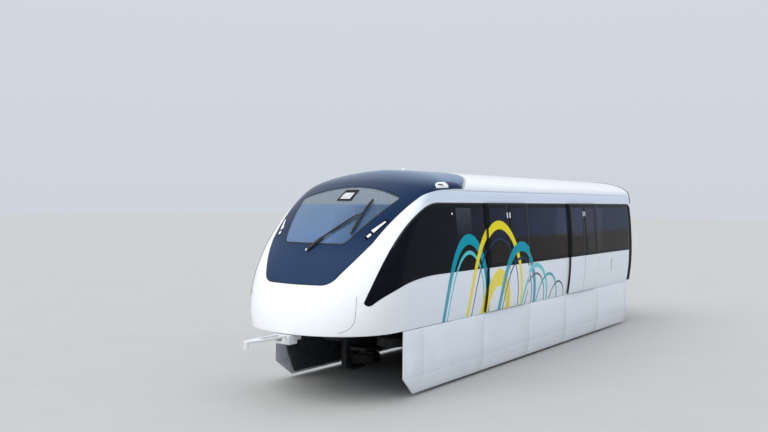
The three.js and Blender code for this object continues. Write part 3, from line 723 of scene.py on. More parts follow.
def glossy_navy():
    """Navy gloss, with a painted dark reflection beside the windscreen and a pale painted sky reflection on
    the crown.
    """
    f = Finish("glossy_navy", Coat_Roughness=0.05, Specular_IOR_Level=0.06)
    cloud = f.noise(0.8, 2.0)
    # Painted reflections: the pale sky on the crown, and a darker reflection beside the windscreen
    crown_sky_reflection = f.back.ramp(*CROWN_D) * f.z.ramp(*CROWN_Z)
    dark_reflection_beside_screen = f.z.ramp(*BESIDE_SCREEN_Z) * (1 - crown_sky_reflection)
    low = f.mix(cloud, (0.016, 0.036, 0.086), (0.024, 0.050, 0.112))
    dark = f.mix(cloud, (0.005, 0.019, 0.058), (0.009, 0.028, 0.080))
    high = f.mix(cloud, (0.11, 0.18, 0.31), (0.15, 0.23, 0.37))
    f.set(Base_Color=f.mix(crown_sky_reflection, f.mix(dark_reflection_beside_screen, low, dark), high))
    f.set(Roughness=0.16 + f.noise(3.0) * 0.08, Coat_Weight=0.05 + cloud * 0.03)
    return f.material


def black_border(name, design=False):
    f = Finish(name, Specular_IOR_Level=0.04)
    ground = f.mix(f.noise(2.0), (0.003, 0.004, 0.007), (0.006, 0.008, 0.013))
    f.set(Base_Color=arches(f, ground)[0] if design else ground)
    f.set(Roughness=0.10 + f.noise(2.0) * 0.06)
    return f.material


# Zones of the glass: where its painted reflections, its pale field of painted light, and the windscreen's
# painted pale head band and painted shade come in or go out
UPPER_GLASS_Z = (2.67, 2.73)
BEHIND_D = (3.0, 7.5)
PALE_LIGHT_START_D = (3.06, 3.14)
PALE_LIGHT_END_D = (3.66, 3.74)
PALE_LIGHT_Z = (2.75, 3.3)
CLEARER_D = (3.0, 3.8)
SCREEN_Z = (2.7, 3.6)
PALE_HEAD_Z = (3.36, 3.39)
FAR_SIDE_Y = (0.15, 0.75)


def tinted_glass(name, design=False):
    """Dark glass with painted reflections: bluer sky above and browner below, paler toward the rear, with
    pale streaks and a pale field of painted light.
    """
    f = Finish(name, Specular_IOR_Level=0.05)
    # Painted light: the bluer upper part and the paler rear are painted sky reflection, the bands painted
    # streaks of reflection, the pale field painted light
    back, upper_sky_reflection = f.back, f.z.ramp(*UPPER_GLASS_Z)
    ahead = f.mix(upper_sky_reflection, (0.004, 0.004, 0.007), (0.005, 0.008, 0.018))
    behind = f.mix(upper_sky_reflection, (0.026, 0.017, 0.012), (0.020, 0.036, 0.085))
    ground = f.mix(back.ramp(*BEHIND_D), ahead, behind)
    reflection_bands = f.noise(1.0, 3.0, vector=f.stretched(2.2, 0.0, 0.30)).ramp(0.40, 0.62)
    ground = f.mix(reflection_bands * 0.45, ground, (0.016, 0.018, 0.022))
    painted_light_field = back.ramp(*PALE_LIGHT_START_D) * (1 - back.ramp(*PALE_LIGHT_END_D)) * f.z.ramp(*PALE_LIGHT_Z)
    ground = f.mix(painted_light_field * 0.7, ground, (0.070, 0.080, 0.100))
    alpha = 0.96 - back.ramp(*CLEARER_D) * 0.13 + f.noise(1.6, 1.0) * 0.04
    if design:
        ground, covered = arches(f, ground)
        alpha = alpha.most(covered)
    f.set(Base_Color=ground, Alpha=alpha, Roughness=0.06 + f.noise(1.5) * 0.04)
    return f.material


def windscreen_glass():
    """Clear blue glass with a greyer band of painted pale sky light along its head, and painted shade
    toward the driver's far side.
    """
    f = Finish("windscreen_glass", Coat_Roughness=0.04, Specular_IOR_Level=0.22)
    # Painted light: a pale band of sky light along the head, and shade toward the far side
    up, pale_head_band = f.z.ramp(*SCREEN_Z), f.z.ramp(*PALE_HEAD_Z)
    far_side_shade = f.y.ramp(*FAR_SIDE_Y) * (1 - pale_head_band)
    shade = f.mix(up, (0.17, 0.29, 0.53), (0.19, 0.31, 0.48))
    shade = f.mix(pale_head_band, shade, (0.30, 0.37, 0.44))
    f.set(Base_Color=f.mix(far_side_shade * 0.6, shade, (0.04, 0.08, 0.17)))
    f.set(Roughness=0.05 + f.noise(2.0) * 0.05, Alpha=0.46 - up * 0.04, Coat_Weight=0.22)
    return f.material


def plain(name, dark, light, rough, scale, metal=0.0, grain=0.0, grain_scale=180.0, coat=0.0, shine=0.5):
    """A finish that wanders between two shades, with a fine grain in its surface."""
    f = Finish(name, Metallic=metal, Specular_IOR_Level=shine)
    wander = f.noise(scale, 4.0)
    f.set(Base_Color=f.mix(wander.ramp(0.3, 0.7), dark, light))
    f.set(Roughness=rough - 0.08 + f.noise(scale * 3.0) * 0.16)
    if coat:
        f.set(Coat_Weight=coat * (0.8 + wander * 0.2))
    if grain:
        f.bump(f.noise(grain_scale, 3.0), grain)
    return f.material


def lit_cover(name):
    f = Finish(name, Roughness=0.5, Emission_Strength=6.0)
    shade = f.mix(f.noise(3.0), (0.93, 0.96, 1.0), (1.0, 0.99, 0.95))
    f.set(Base_Color=shade, Emission_Color=shade)
    return f.material


WHITE = coach_paint("white_coach_paint")
WHITE_DESIGN = coach_paint("white_coach_paint_with_arches", design=True)
NAVY_GLOSS = glossy_navy()
BORDER_BLACK = black_border("printed_black_border")
BORDER_DESIGN = black_border("printed_black_border_with_arches", design=True)
GLASS = tinted_glass("tinted_side_glass")
GLASS_DESIGN = tinted_glass("tinted_side_glass_with_arches", design=True)
SCREEN = windscreen_glass()
LIGHT_COVER = lit_cover("lit_ceiling_cover")

# Plain finishes: the two shades, the roughness, the scale at which they wander, then what is special
RUBBER = plain("black_rubber", (0.008, 0.008, 0.009), (0.022, 0.022, 0.024), 0.62, 20.0, grain=0.0003)
TRIM = plain("pale_interior_plastic", (0.50, 0.52, 0.53), (0.60, 0.61, 0.62), 0.5, 6.0, grain=0.0002)
STEEL_SHADES = ((0.45, 0.47, 0.49), (0.66, 0.68, 0.70))
STEEL = plain("galvanised_steel", *STEEL_SHADES, 0.42, 30.0, metal=0.5, grain=0.0002)
COUPLER_SHADES = ((0.62, 0.64, 0.65), (0.76, 0.78, 0.79))
PALE_STEEL = plain("pale_grey_coupler_paint", *COUPLER_SHADES, 0.42, 9.0, grain=0.0002)
CHAMFER_GREY = plain("grey_edge_paint", (0.40, 0.43, 0.47), (0.46, 0.49, 0.53), 0.35, 4.0, coat=0.3)
POLE_YELLOW = plain("yellow_pole_paint", (0.62, 0.46, 0.05), (0.72, 0.55, 0.08), 0.35, 7.0, coat=0.5)
WALL_LINING = plain("grey_wall_lining", (0.30, 0.31, 0.32), (0.38, 0.39, 0.40), 0.6, 3.0, grain=0.0002)
CHASSIS = plain("chassis_paint", (0.035, 0.038, 0.042), (0.075, 0.078, 0.082), 0.55, 8.0, grain=0.0004)
TYRE = plain("tyre_rubber", (0.012, 0.012, 0.013), (0.035, 0.034, 0.033), 0.75, 15.0, grain=0.0006)
HUB = plain("wheel_paint", (0.28, 0.29, 0.30), (0.40, 0.41, 0.42), 0.4, 18.0, metal=0.3, coat=0.3)
SEAT_SHADES = ((0.02, 0.11, 0.20), (0.03, 0.15, 0.26))
SEAT = plain("moulded_seat_blue", *SEAT_SHADES, 0.38, 5.0, grain=0.00015, coat=0.4)
FLOOR = plain("speckled_floor", (0.16, 0.17, 0.18), (0.27, 0.28, 0.29), 0.6, 260.0, grain=0.0002)
CLOTH_SHADES = ((0.018, 0.024, 0.022), (0.045, 0.052, 0.048))
CLOTH = plain("bellows_cloth", *CLOTH_SHADES, 0.8, 10.0, grain=0.001, grain_scale=400.0)
LENS = plain("white_lens", (0.85, 0.90, 0.94), (0.96, 0.98, 1.0), 0.16, 8.0, coat=1.0)
NAVY_LENS = plain("navy_lens", (0.004, 0.014, 0.070), (0.008, 0.022, 0.100), 0.18, 8.0, shine=0.06)


# Nose shell, front mask and windscreen

# Steps along the outlines of the windscreen and the mask, which have to match: foot, corner, flank, then
# the top corner or the shoulder, then the head or the run over the roof
OUTLINE_STEPS = (12, 10, 30, 14, 24)
SHOULDER_START = sum(OUTLINE_STEPS[:3])
SHOULDER_END = sum(OUTLINE_STEPS[:4])
SCREEN_FOOT_Z = 2.69
SCREEN_HEAD_Z = 3.69
MASK_FOOT_Z = 2.025
MASK_REAR_D = 4.18
MASK_THICK = 0.04
SCREEN_THICK = 0.014
GASKET_WIDTH = 0.024
MASK_ROWS = 30
SCREEN_ROWS = 28
NOSE_ROWS = 34


def screen_outline(grow):
    """Half the windscreen's outline, from the middle of its foot to the middle of its head."""
    foot, head = SCREEN_FOOT_Z - grow, SCREEN_HEAD_Z + grow
    bottom, corner, flank, top_corner, top = OUTLINE_STEPS
    return traced(
        (0, foot),
        (bottom, (0.590, foot)),
        (corner, (0.680 + grow, foot), (0.718 + grow, 2.765)),
        (flank, (1.092 + grow, 3.44)),
        (top_corner, (1.124 + grow, 3.495 + grow), (1.05, 3.508 + grow)),
        (top, (0.525, head), (0, head)),
    )


def mask_line(grow=0.0):
    """Half the mask's edge, from the middle of its foot up the nose and along the shoulder to the roof."""
    foot, shoulder_z = MASK_FOOT_Z - grow, 3.688 - grow
    shoulder_d, rear_d = 3.46 + grow, MASK_REAR_D + grow
    bottom, corner, flank, shoulder, rear = OUTLINE_STEPS
    shoulder_foot = (1.372 + grow, 3.52 - grow)
    climb = traced(
        (0, foot),
        (bottom, (0.54, foot + 0.005)),
        (corner, (0.73 + grow, foot + 0.01), (0.81 + grow, 2.19)),
        (flank // 2, (0.985 + grow, 2.43), (1.125 + grow, 2.72)),
        (flank - flank // 2, (1.222 + grow, 3.10), shoulder_foot),
    )
    start = (float(front_d(*shoulder_foot)), shoulder_foot[1])
    leave = (start[0] + 0.134, 3.592 - grow)
    along = on_side(swing(start, leave, (2.42, 3.682 - grow), (shoulder_d, shoulder_z), shoulder))
    across = traced(
        (shoulder_d, along[-1][1]),
        (rear - 8, (rear_d, 1.18), (rear_d, 0.86)),
        (8, (rear_d, 0)),
    )
    return joined(in_front(climb), along, from_above(across))


def front_mask():
    near = both_halves(in_front(screen_outline(0.004)))
    piece = sheet("front_mask_skin", near, both_halves(mask_line()), MASK_ROWS)
    dress(piece, NAVY_GLOSS, WALL_LINING)
    thick(piece, MASK_THICK, 0.004, inner=1)
    finished(piece, None, replaces=["front_mask"])


def windscreen():
    half = in_front(screen_outline(-0.001))[OUTLINE_STEPS[0] :]
    pane = sheet("windscreen_pane", half, half * ACROSS, SCREEN_ROWS)
    thick(pane, SCREEN_THICK, 0.002)
    finished(pane, SCREEN, replaces=["windscreen"])
    line = both_halves(in_front(screen_outline(0.002)))
    sizes = {"width": GASKET_WIDTH, "depth": 0.006, "inset": -0.003, "edge": 0.002}
    gasket = ribbon("windscreen_gasket", line, closed=True, **sizes)
    finished(gasket, RUBBER)


# How far along the sole the skin's lines arrive that leave the mask's edge at the joint behind the cab,
# at the shoulder's front, at the flank's foot, at the end of the foot and in the middle
SOLE_SHARES = (0, 0.28, 0.72, 0.86, 1)
SOLE_STEPS = 600
SOLE_ROUNDING = 0.014


def nose_skin():
    """The white nose, from the mask's edge down to its sole and back to the joint behind the cab."""
    foot, _, flank, shoulder, _ = OUTLINE_STEPS
    edge = mask_line(MASK_SEAM)[: SHOULDER_END + 1][::-1]
    start = int(np.argmax(edge[:, 0] >= NOSE_X - CAB_JOINT + CAB_GAP))
    edge = edge[start:]
    edge[0] = on_side([(CAB_JOINT - CAB_GAP, edge[0][2])])[0]
    last = len(edge) - 1
    marks = [0, shoulder - start, shoulder - start + flank, last - foot, last]
    shares = np.interp(np.arange(len(edge)), marks, SOLE_SHARES)
    sole = level_line(SOLE_Z, CAB_JOINT - CAB_GAP, SOLE_STEPS)
    sole = sole[np.rint(shares * SOLE_STEPS).astype(int)]
    piece = sheet("nose_skin", both_halves(edge), both_halves(sole), NOSE_ROWS)
    dress(piece, WHITE_DESIGN, WALL_LINING)
    outer = len(piece.data.vertices)
    thick(piece, WALL, inner=1)
    on_sole = corners(piece)[:, 2] < SOLE_Z + 1e-4
    on_sole[outer:] = False
    ends = listed(piece.data.edges, "vertices", 2, np.int32)
    round_edges(piece, on_sole[ends].all(1), SOLE_ROUNDING, 4)
    smooth(piece)
    finished(piece, None, replaces=["nose_shell"])


def mask_seal():
    """The dark seal in the gap between the mask and the white skins, a little below both."""
    line = both_halves(mask_line(MASK_SEAM / 2))
    seal = ribbon("mask_seal", line, 0.030, 0.006, inset=0.001, closed=True)
    finished(seal, RUBBER)


def fairing_seam():
    """The joint of the front fairing, from beside the mask's foot down and under the nose."""
    places = traced(
        (1.166, 1.860),
        (10, (1.190, 1.680), (1.176, 1.490)),
        (14, (1.150, 1.305), (0.960, 1.268)),
    )
    line = in_front(places)
    seams = [ribbon("seam", run, 0.006, 0.003, inset=-0.0006) for run in (line, line * ACROSS)]
    finished(join("front_fairing_seams", seams), RUBBER)


# Side skins, windows and doors

WINDOWS = {
    "front": (CAB_JOINT, DOOR_CENTRES[0] - DOORWAY_HALF - SEAM),
    "middle": (DOOR_CENTRES[0] + DOORWAY_HALF + SEAM, DOOR_CENTRES[1] - DOORWAY_HALF - SEAM),
    "rear": (DOOR_CENTRES[1] + DOORWAY_HALF + SEAM, BODY_REAR - SEAM),
}
PITCH = 0.12
SEAL_PITCH = 0.3


def light_of(start, end):
    """The clear part of a window: where it starts and ends, and its lower and upper edge."""
    return (start + BORDER, end - BORDER, SILL_Z + BORDER, BAND_TOP_Z - BORDER)


def marks_between(start, end, marks=(), pitch=PITCH):
    """Numbers from start to end that include the marks and are no further apart than the pitch."""
    kept = sorted({start, end, *[m for m in marks if start < m < end]})
    return joined(*[steps(a, b, max(1, math.ceil((b - a) / pitch))) for a, b in zip(kept, kept[1:])])


def pierced_side(name, d_range, z_range, holes=(), inset=0.0, pitch=PITCH):
    """A sheet of the left side, with rectangular holes of (start, end, low, high)."""
    ds = marks_between(*d_range, [d for hole in holes for d in hole[:2]], pitch)
    zs = marks_between(*z_range, [z for hole in holes for z in hole[2:]], pitch)
    low, high = (on_side(level(ds, z), inset) for z in z_range)
    piece = sheet(name, low, high, (zs - zs[0]) / (zs[-1] - zs[0]), sideways, inset)
    d, z = face_places(piece)
    gone = np.zeros(len(d), bool)
    for start, end, bottom, top in holes:
        gone |= (d > start) & (d < end) & (z > bottom) & (z < top)
    if gone.any():
        drop_faces(piece, gone)
    return piece


def bordered_pane(name, low_line, high_line, clear, inset):
    """A glass panel between two lines, with its printed border as a second material."""
    border = BORDER / (BAND_TOP_Z - SILL_Z)
    rows = [0, *steps(border, 1 - border, 12), 1]
    piece = sheet(name, low_line, high_line, rows, sideways, inset)
    d, z = face_places(piece)
    start, end, bottom, top = clear
    paint_faces(piece, 1, (d < start) | (d > end) | (z < bottom) | (z > top))
    return thick(piece, GLASS_THICK, 0.002)


def swept_lines():
    """The lower and upper edge of the front band, from its rounded tip to the first door."""
    tip, sill_start, top_start = (0.534, 1.750), 2.4, 2.5
    low = traced(
        tip,
        (10, (0.560, 1.672), (0.640, 1.716)),
        (32, (0.88, 1.930), (1.45, 2.105), (sill_start, SILL_Z)),
    )
    high = traced(
        tip,
        (10, (0.539, 1.768), (0.547, 1.785)),
        (32, (0.865, 2.475), (1.60, BAND_TOP_Z), (top_start, BAND_TOP_Z)),
    )
    clear_start, end = CAB_JOINT + BORDER, WINDOWS["front"][1]
    ds = marks_between(top_start, end, [clear_start, end - BORDER])
    stretch = (clear_start - sill_start) / (clear_start - top_start)
    low_ds = np.where(ds > CAB_JOINT, ds, sill_start + (ds - top_start) * stretch)
    return joined(low, level(low_ds, SILL_Z)), joined(high, level(ds, BAND_TOP_Z))


def side_skins():
    holes = [light_of(*ends) for ends in WINDOWS.values()]
    holes += [(centre - DOORWAY_HALF, centre + DOORWAY_HALF, *DOORWAY_Z) for centre in DOOR_CENTRES]
    wall = pierced_side("side_skin_left", (CAB_JOINT, BODY_REAR), (SOLE_Z, SHOULDER_Z - SEAM / 2), holes)
    dress(wall, WHITE_DESIGN, RUBBER, WALL_LINING)
    thick(wall, WALL, 0.003, inner=2, rim=1)
    d, z = face_places(wall)
    paint_faces(wall, 0, (d < CAB_JOINT + 0.01) | (z < SOLE_Z + 0.01) | (z > SHOULDER_Z - 0.01))
    finished_pair(wall, None, replaces=["side_wall_left"])


def side_panes():
    for name, (start, end) in WINDOWS.items():
        ds = marks_between(start, end, [start + BORDER, end - BORDER])
        edges = swept_lines() if name == "front" else (level(ds, SILL_Z), level(ds, BAND_TOP_Z))
        lines = [on_side(edge, -GLASS_PROUD) for edge in edges]
        pane = bordered_pane(f"pane_{name}_left", *lines, light_of(start, end), -GLASS_PROUD)
        glass = [GLASS, BORDER_BLACK] if name == "rear" else [GLASS_DESIGN, BORDER_DESIGN]
        finished_pair(pane, glass, replaces=[f"window_{name}_left"])


PLATE_ABOVE_GLASS = 0.0008
ON_GLASS = -GLASS_PROUD - PLATE_ABOVE_GLASS
PLATE_THICK = 0.001
PLATE_FROM_SPLIT = (0.035, 0.080)
PLATE_Z = (3.10, 3.215)
WINDOW_MARK_D = (2.955, 3.0)
WINDOW_MARK_Z = (3.185, 3.225)


def door_leaf(number, half):
    """One left leaf of a double door. Leaf a is ahead of the split, leaf b behind it."""
    node = f"door_{number}{half}_left"
    away = -1 if half == "a" else 1
    start, end = sorted(DOOR_CENTRES[number - 1] + away * reach for reach in (LEAF_SPLIT, LEAF_WIDTH))
    light = light_of(start, end)
    leaf = pierced_side(node.replace("door", "leaf"), (start, end), LEAF_Z, [light], -LEAF_PROUD)
    # The leaf's black rubber rims are its edge seals, and also painted shade on its proud edges
    dress(leaf, WHITE_DESIGN, RUBBER, WALL_LINING)
    thick(leaf, LEAF_THICK, 0.003, inner=2, rim=1)
    paint_faces(leaf, 1, centres(leaf)[:, 2] > BAND_TOP_Z - BORDER + 0.001)
    on_leaf = -LEAF_PROUD - GLASS_PROUD
    ds = marks_between(start + 0.0005, end - 0.0005, [start + BORDER, end - BORDER])
    lines = [on_side(level(ds, z), on_leaf) for z in (SILL_Z, BAND_TOP_Z)]
    pane = bordered_pane(node.replace("door", "leaf_pane"), *lines, light, on_leaf)
    plate_d = sorted(DOOR_CENTRES[number - 1] + away * reach for reach in PLATE_FROM_SPLIT)
    name = node.replace("door", "blank_sticker")
    plate = pierced_side(name, plate_d, PLATE_Z, inset=on_leaf - PLATE_ABOVE_GLASS, pitch=0.02)
    thick(plate, PLATE_THICK)
    finished_pair(leaf, None, node, [node])
    finished_pair(pane, [GLASS_DESIGN, BORDER_DESIGN], node, [node + "_glass"])
    finished_pair(plate, WHITE, node)


def window_mark():
    """A small pale plate on the front window's glass, level with the heads of the leaves' plates."""
    ds = steps(*WINDOW_MARK_D, 2)
    low, high = (on_side(level(ds, z), ON_GLASS) for z in WINDOW_MARK_Z)
    mark = thick(sheet("window_mark_left", low, high, 2, None), PLATE_THICK)
    finished_pair(mark, WHITE)


def doors():
    for number in (1, 2):
        for half in "ab":
            door_leaf(number, half)


SLOT_D = 11.5
SLOT_Z = (1.60, 1.93)
BAND_LINE_UP = (-0.020, 0.014)
BAND_LINE_RISE = (1.1, 2.5)
BAND_LINE_WIDTH = 0.034
SILL_LINE_WIDTH = 0.012
DOOR_SEAL_GAP = 0.008
# Width, depth, inset and rounding of the handle slot and of the seals beside the doors
SLOT_SIZES = (0.026, 0.004, -0.0012, 0.001)
DOOR_SEAL_SIZES = (0.020, 0.008, -0.006)


def side_line(pairs, side, width, depth=0.006, inset=ON_GLASS, edge=0.0):
    return ribbon("line", on_side(pairs, side=side), width, depth, sideways, inset, edge)


def band_line():
    """Places of the dark line over the band. It comes out of the glass along the band's curved front."""
    bend_start, bend_end = BAND_LINE_RISE
    front = [point for point in swept_lines()[1] if bend_start < point[0] < bend_end]
    ds = marks_between(bend_end, BODY_REAR - 0.01, pitch=SEAL_PITCH)
    places = np.concatenate([front, level(ds, BAND_TOP_Z)])
    places[:, 1] += np.interp(places[:, 0], BAND_LINE_RISE, BAND_LINE_UP)
    return places


def side_seals():
    """Dark lines on the sides: over and under the window band, a handle slot, and beside the doors."""
    for side_name, side in SIDES.items():
        lines = [side_line(band_line(), side, BAND_LINE_WIDTH)]
        for name in ("middle", "rear"):
            ds = marks_between(*WINDOWS[name], pitch=SEAL_PITCH)
            lines.append(side_line(level(ds, SILL_Z), side, SILL_LINE_WIDTH))
        slot = [(SLOT_D, z) for z in steps(*SLOT_Z, 8)]
        lines.append(side_line(slot, side, *SLOT_SIZES))
        for centre in DOOR_CENTRES:
            for way in (-1, 1):
                d = centre + way * (LEAF_WIDTH + DOOR_SEAL_GAP)
                upright = [(d, z) for z in steps(*LEAF_Z, 24)]
                lines.append(side_line(upright, side, *DOOR_SEAL_SIZES))
        finished(join(f"side_seals_{side_name}", lines), RUBBER)


# Roof

STRIP_FOOT_Z = 3.40
ROOF_ROWS = 60


def roof_skin():
    """The white roof behind the mask, with the strips that run down beside the gangway."""
    front, foot_z = CAB_JOINT + SEAM, SHOULDER_Z + SEAM / 2
    edge = mask_line(MASK_SEAM)[SHOULDER_START:]
    edge = edge[int(np.argmax(edge[:, 0] <= NOSE_X - front)) :]
    edge[0] = on_side([(front, edge[0][2])])[0]
    near = both_halves(np.concatenate([on_side([(front, foot_z)]), edge]))
    far = near.copy()
    far[:, 0] = NOSE_X - CAR_REAR
    pieces = [sheet("roof", near, far, ROOF_ROWS)]
    for side in SIDES.values():
        ends = (BODY_REAR + SEAM, CAR_REAR)
        low, high = (on_side(level(ends, z), side=side) for z in (STRIP_FOOT_Z, foot_z))
        pieces.append(sheet("strip", low, high, 4, sideways))
    roof = join("roof_skin", pieces)
    merge_doubles(roof, 1e-3)
    dress(roof, WHITE, WALL_LINING)
    thick(roof, WALL, 0.006, inner=1)
    finished(roof, None, replaces=["roof_shell"])


def roof_trim():
    """A grey chamfer behind the mask, and the black seal where the next gangway meets the roof."""
    rear = both_halves(mask_line(2 * MASK_SEAM)[SHOULDER_END:])
    edge = ribbon("mask_rear_chamfer", rear, 0.050, 0.004, inset=-0.002, edge=0.0015)
    finished(edge, CHAMFER_GREY)
    end = hoop(CAR_REAR - 0.022, 3.42, 60)
    seal = ribbon("roof_end_seal", end, 0.040, 0.010, inset=-0.006, edge=0.003)
    finished(seal, RUBBER)


# Skirts

SKIRT_HALF = 1.488
SKIRT_SEAM_Z = 0.37
SKIRT_BOTTOM_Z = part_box("skirt_left")[0].z
SKIRT_TOP_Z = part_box("skirt_left")[1].z
SKIRT_TUCK = 0.075
SKIRT_FRONT = NOSE_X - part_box("skirt_left")[1].x
SKIRT_REAR = NOSE_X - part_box("skirt_left")[0].x
SKIRT_CHAMFER = 0.40
SKIRT_SEAMS = [2.03, 4.28, 6.42, 8.50, 10.65]
SKIRT_THICK = 0.028
BACKING_SHIFT = 0.032
BACKING_BOTTOM_Z = 0.10


def skirt_sheet(name, d_top, d_bottom, end, z_top, z_bottom):
    """A flat panel. Its front edge runs from d_top down to d_bottom."""
    def place(d, z):
        tuck = SKIRT_TUCK * max(0.0, (SKIRT_SEAM_Z - z) / (SKIRT_SEAM_Z - SKIRT_BOTTOM_Z))
        return (NOSE_X - d, SKIRT_HALF - tuck, z)

    columns = max(2, round((end - d_top) / 0.4))
    high = np.array([place(d, z_top) for d in steps(d_top, end, columns)])
    low = np.array([place(d, z_bottom) for d in steps(d_bottom, end, columns)])
    return thick(sheet(name, low, high, 3, None), SKIRT_THICK, 0.004)


def skirts():
    ends = [SKIRT_FRONT, *SKIRT_SEAMS, SKIRT_REAR]
    half_seam = SEAM / 2
    panels = []
    for start, end in zip(ends, ends[1:]):
        foremost = start == SKIRT_FRONT
        first = start if foremost else start + half_seam
        foot = first + SKIRT_CHAMFER if foremost else first
        last = end - half_seam
        panels.append(skirt_sheet("upper_sky_reflection", first, first, last, SKIRT_TOP_Z, SKIRT_SEAM_Z + half_seam))
        panels.append(skirt_sheet("lower", first, foot, last, SKIRT_SEAM_Z - half_seam, SKIRT_BOTTOM_Z))
    front = (SKIRT_FRONT + 0.05, SKIRT_FRONT + 0.45)
    backing = skirt_sheet("skirt_backing_left", *front, SKIRT_REAR - 0.02, SKIRT_TOP_Z, BACKING_BOTTOM_Z)
    place_corners(backing, corners(backing) - np.array([0, BACKING_SHIFT, 0]))
    finished_pair(join("skirt_panels_left", panels), WHITE, replaces=["skirt_left"])
    finished_pair(backing, CHASSIS)


# Lamps, wiper and what stands on the mask

# Each lens: its ends on the nose, and its width at both
LAMP_LENSES = [
    ((1.035, 2.905), (1.150, 3.078), 0.066, 0.028),
    ((1.000, 2.815), (1.032, 2.868), 0.046, 0.046),
]
LAMP_BEZEL = ((0.985, 2.785), (1.165, 3.100))

# Each bar of the wiper: its ends on the nose, width, depth, inset, rounding and steps
WIPER_BARS = {
    "arm": ((0.10, 2.70), (0.560, 3.150), 0.034, 0.016, -0.040, 0.005, 20),
    "base": ((0.005, 2.585), (0.200, 2.800), 0.062, 0.026, -0.042, 0.010, 10),
    "link": ((0.560, 3.150), (0.672, 3.200), 0.026, 0.012, -0.038, 0.004, 6),
    "brace": ((0.300, 2.870), (0.640, 3.160), 0.012, 0.010, -0.030, 0.003, 12),
    "blade": ((0.702, 2.862), (0.650, 3.442), 0.022, 0.030, -0.038, 0.003, 24),
    "spine": ((0.698, 2.92), (0.655, 3.39), 0.034, 0.008, -0.041, 0.003, 24),
}
WIPER_BOLT = ((-0.012, 2.572), (0.014, 2.600), 0.034, 0.030, -0.043, 0.008, 2)


def front_strip(name, start, end, width, depth, inset, edge, count=8):
    """A straight strip on the nose between two places in the front view."""
    return ribbon(name, in_front(steps(start, end, count)), width, depth, inset=inset, edge=edge)


def headlamps():
    for side_name, side in SIDES.items():
        lenses = []
        for start, end, low_width, high_width in LAMP_LENSES:
            ends = [(y * side, z) for y, z in (start, end)]
            widths = steps(low_width, high_width, 8)[:, None]
            lenses.append(front_strip("lens", *ends, widths, 0.014, -0.004, 0.004))
        lens = join(f"headlamp_lenses_{side_name}", lenses)
        finished(lens, LENS, replaces=[f"headlamp_{side_name}"])
        ends = [(y * side, z) for y, z in LAMP_BEZEL]
        bezel = front_strip(f"headlamp_bezel_{side_name}", *ends, 0.085, 0.012, -0.0015, 0.004)
        finished(bezel, BORDER_BLACK)


def wiper():
    bars = [front_strip(name, *bar) for name, bar in WIPER_BARS.items()]
    finished(join("wiper_set", bars), RUBBER, replaces=["wiper"])
    finished(front_strip("wiper_bolt", *WIPER_BOLT), PALE_STEEL)


# Roof-side pods, the antenna and the printed patch on the windscreen

# The pods' lower edge on the mask's side, and the parts of a pod by shares of its length and height
POD_D = (2.500, 3.480)
POD_Z = (3.672, 3.700)
POD_LENGTH = 0.96
POD_HEIGHT = 0.115
POD_BULGE = 0.026
POD_CELLS = (26, 24)
POD_LAMP = (0.02, 0.46)
POD_TAIL = (0.47, 0.99)
POD_SLIT_SHARES = (0.02, 0.28)
POD_SLIT_UP = (0.92, 0.46)
POD_SLIT_HALF = 0.13


def pod_places(share, up, bulge):
    """Places on the long teardrop on the mask's side: a strip of the hull, swollen outward."""
    d = POD_D[0] + POD_LENGTH * share
    tall = POD_HEIGHT * (1 - (2 * share - 1) ** 4) ** 0.5 + 0.002
    pairs = np.stack([d, np.interp(d, POD_D, POD_Z) + tall * up], -1)
    base = on_side(pairs)
    out = on_side(pairs, -1.0) - base
    out /= np.linalg.norm(out, axis=1)[:, None]
    swell = bulge * (np.sin(np.pi * np.clip(share, 0.001, 0.999)) * np.sin(np.pi * up)) ** 0.5
    return base + out * (swell[:, None] + 0.001)


def pod_skin(name, ends, bulge):
    columns, rows = POD_CELLS
    piece, along, across = grid(name, columns, rows)
    share = ends[0] + (ends[1] - ends[0]) * along / columns
    place_corners(piece, pod_places(share, across / rows, bulge))
    facing_out(piece)
    return thick(piece, 0.012, 0.001)


def roof_side_pods():
    """On each side a white lamp with a dark slit, and its navy tail."""
    lamp = pod_skin("pod_lamp_left", POD_LAMP, POD_BULGE)
    tail = pod_skin("pod_tail_left", POD_TAIL, POD_BULGE / 2)
    share, up = steps(*POD_SLIT_SHARES, 16), steps(*POD_SLIT_UP, 16)
    low, high = (pod_places(share, up + way * POD_SLIT_HALF, POD_BULGE + 0.003) for way in (-1, 1))
    slit = thick(sheet("pod_slit_left", low, high, 3, None), 0.002)
    finished_pair(lamp, LENS)
    finished_pair(tail, NAVY_LENS)
    finished_pair(slit, RUBBER)


ANTENNA_D = 3.6
ANTENNA_SECTION = [[0.0, -0.004], [0.048, -0.004], [0.050, 0.006], [0.036, 0.012]]
ANTENNA_SECTION += [[0.036, 0.032], [0.030, 0.046], [0.016, 0.054], [0.0, 0.056]]


def antenna():
    dome = spun("antenna_dome", ANTENNA_SECTION, (NOSE_X - ANTENNA_D, 0, ROOF_Z), "z", 32)
    finished(dome, WHITE)


# The patch at the windscreen's head and the blank on it: (left, right, height) of foot and head, the look
PATCH = {
    "windscreen_patch": ((0.19, -0.15, 3.435), (0.15, -0.17, 3.640), BORDER_BLACK, "black_rubber"),
    "windscreen_patch_blank": ((0.12, -0.11, 3.470), (0.10, -0.12, 3.585), TRIM, "trim"),
}
PATCH_LAYER = 0.0012


def windscreen_patch():
    for layer, (name, (*edges, material, slot)) in enumerate(PATCH.items(), 1):
        low, high = (in_front(steps((left, z), (right, z), 6)) for left, right, z in edges)
        piece = sheet(name, low, high, 5, inset=-PATCH_LAYER * layer)
        finished(thick(piece, 0.001), material)


# Couplers, frames and what hangs below the floor

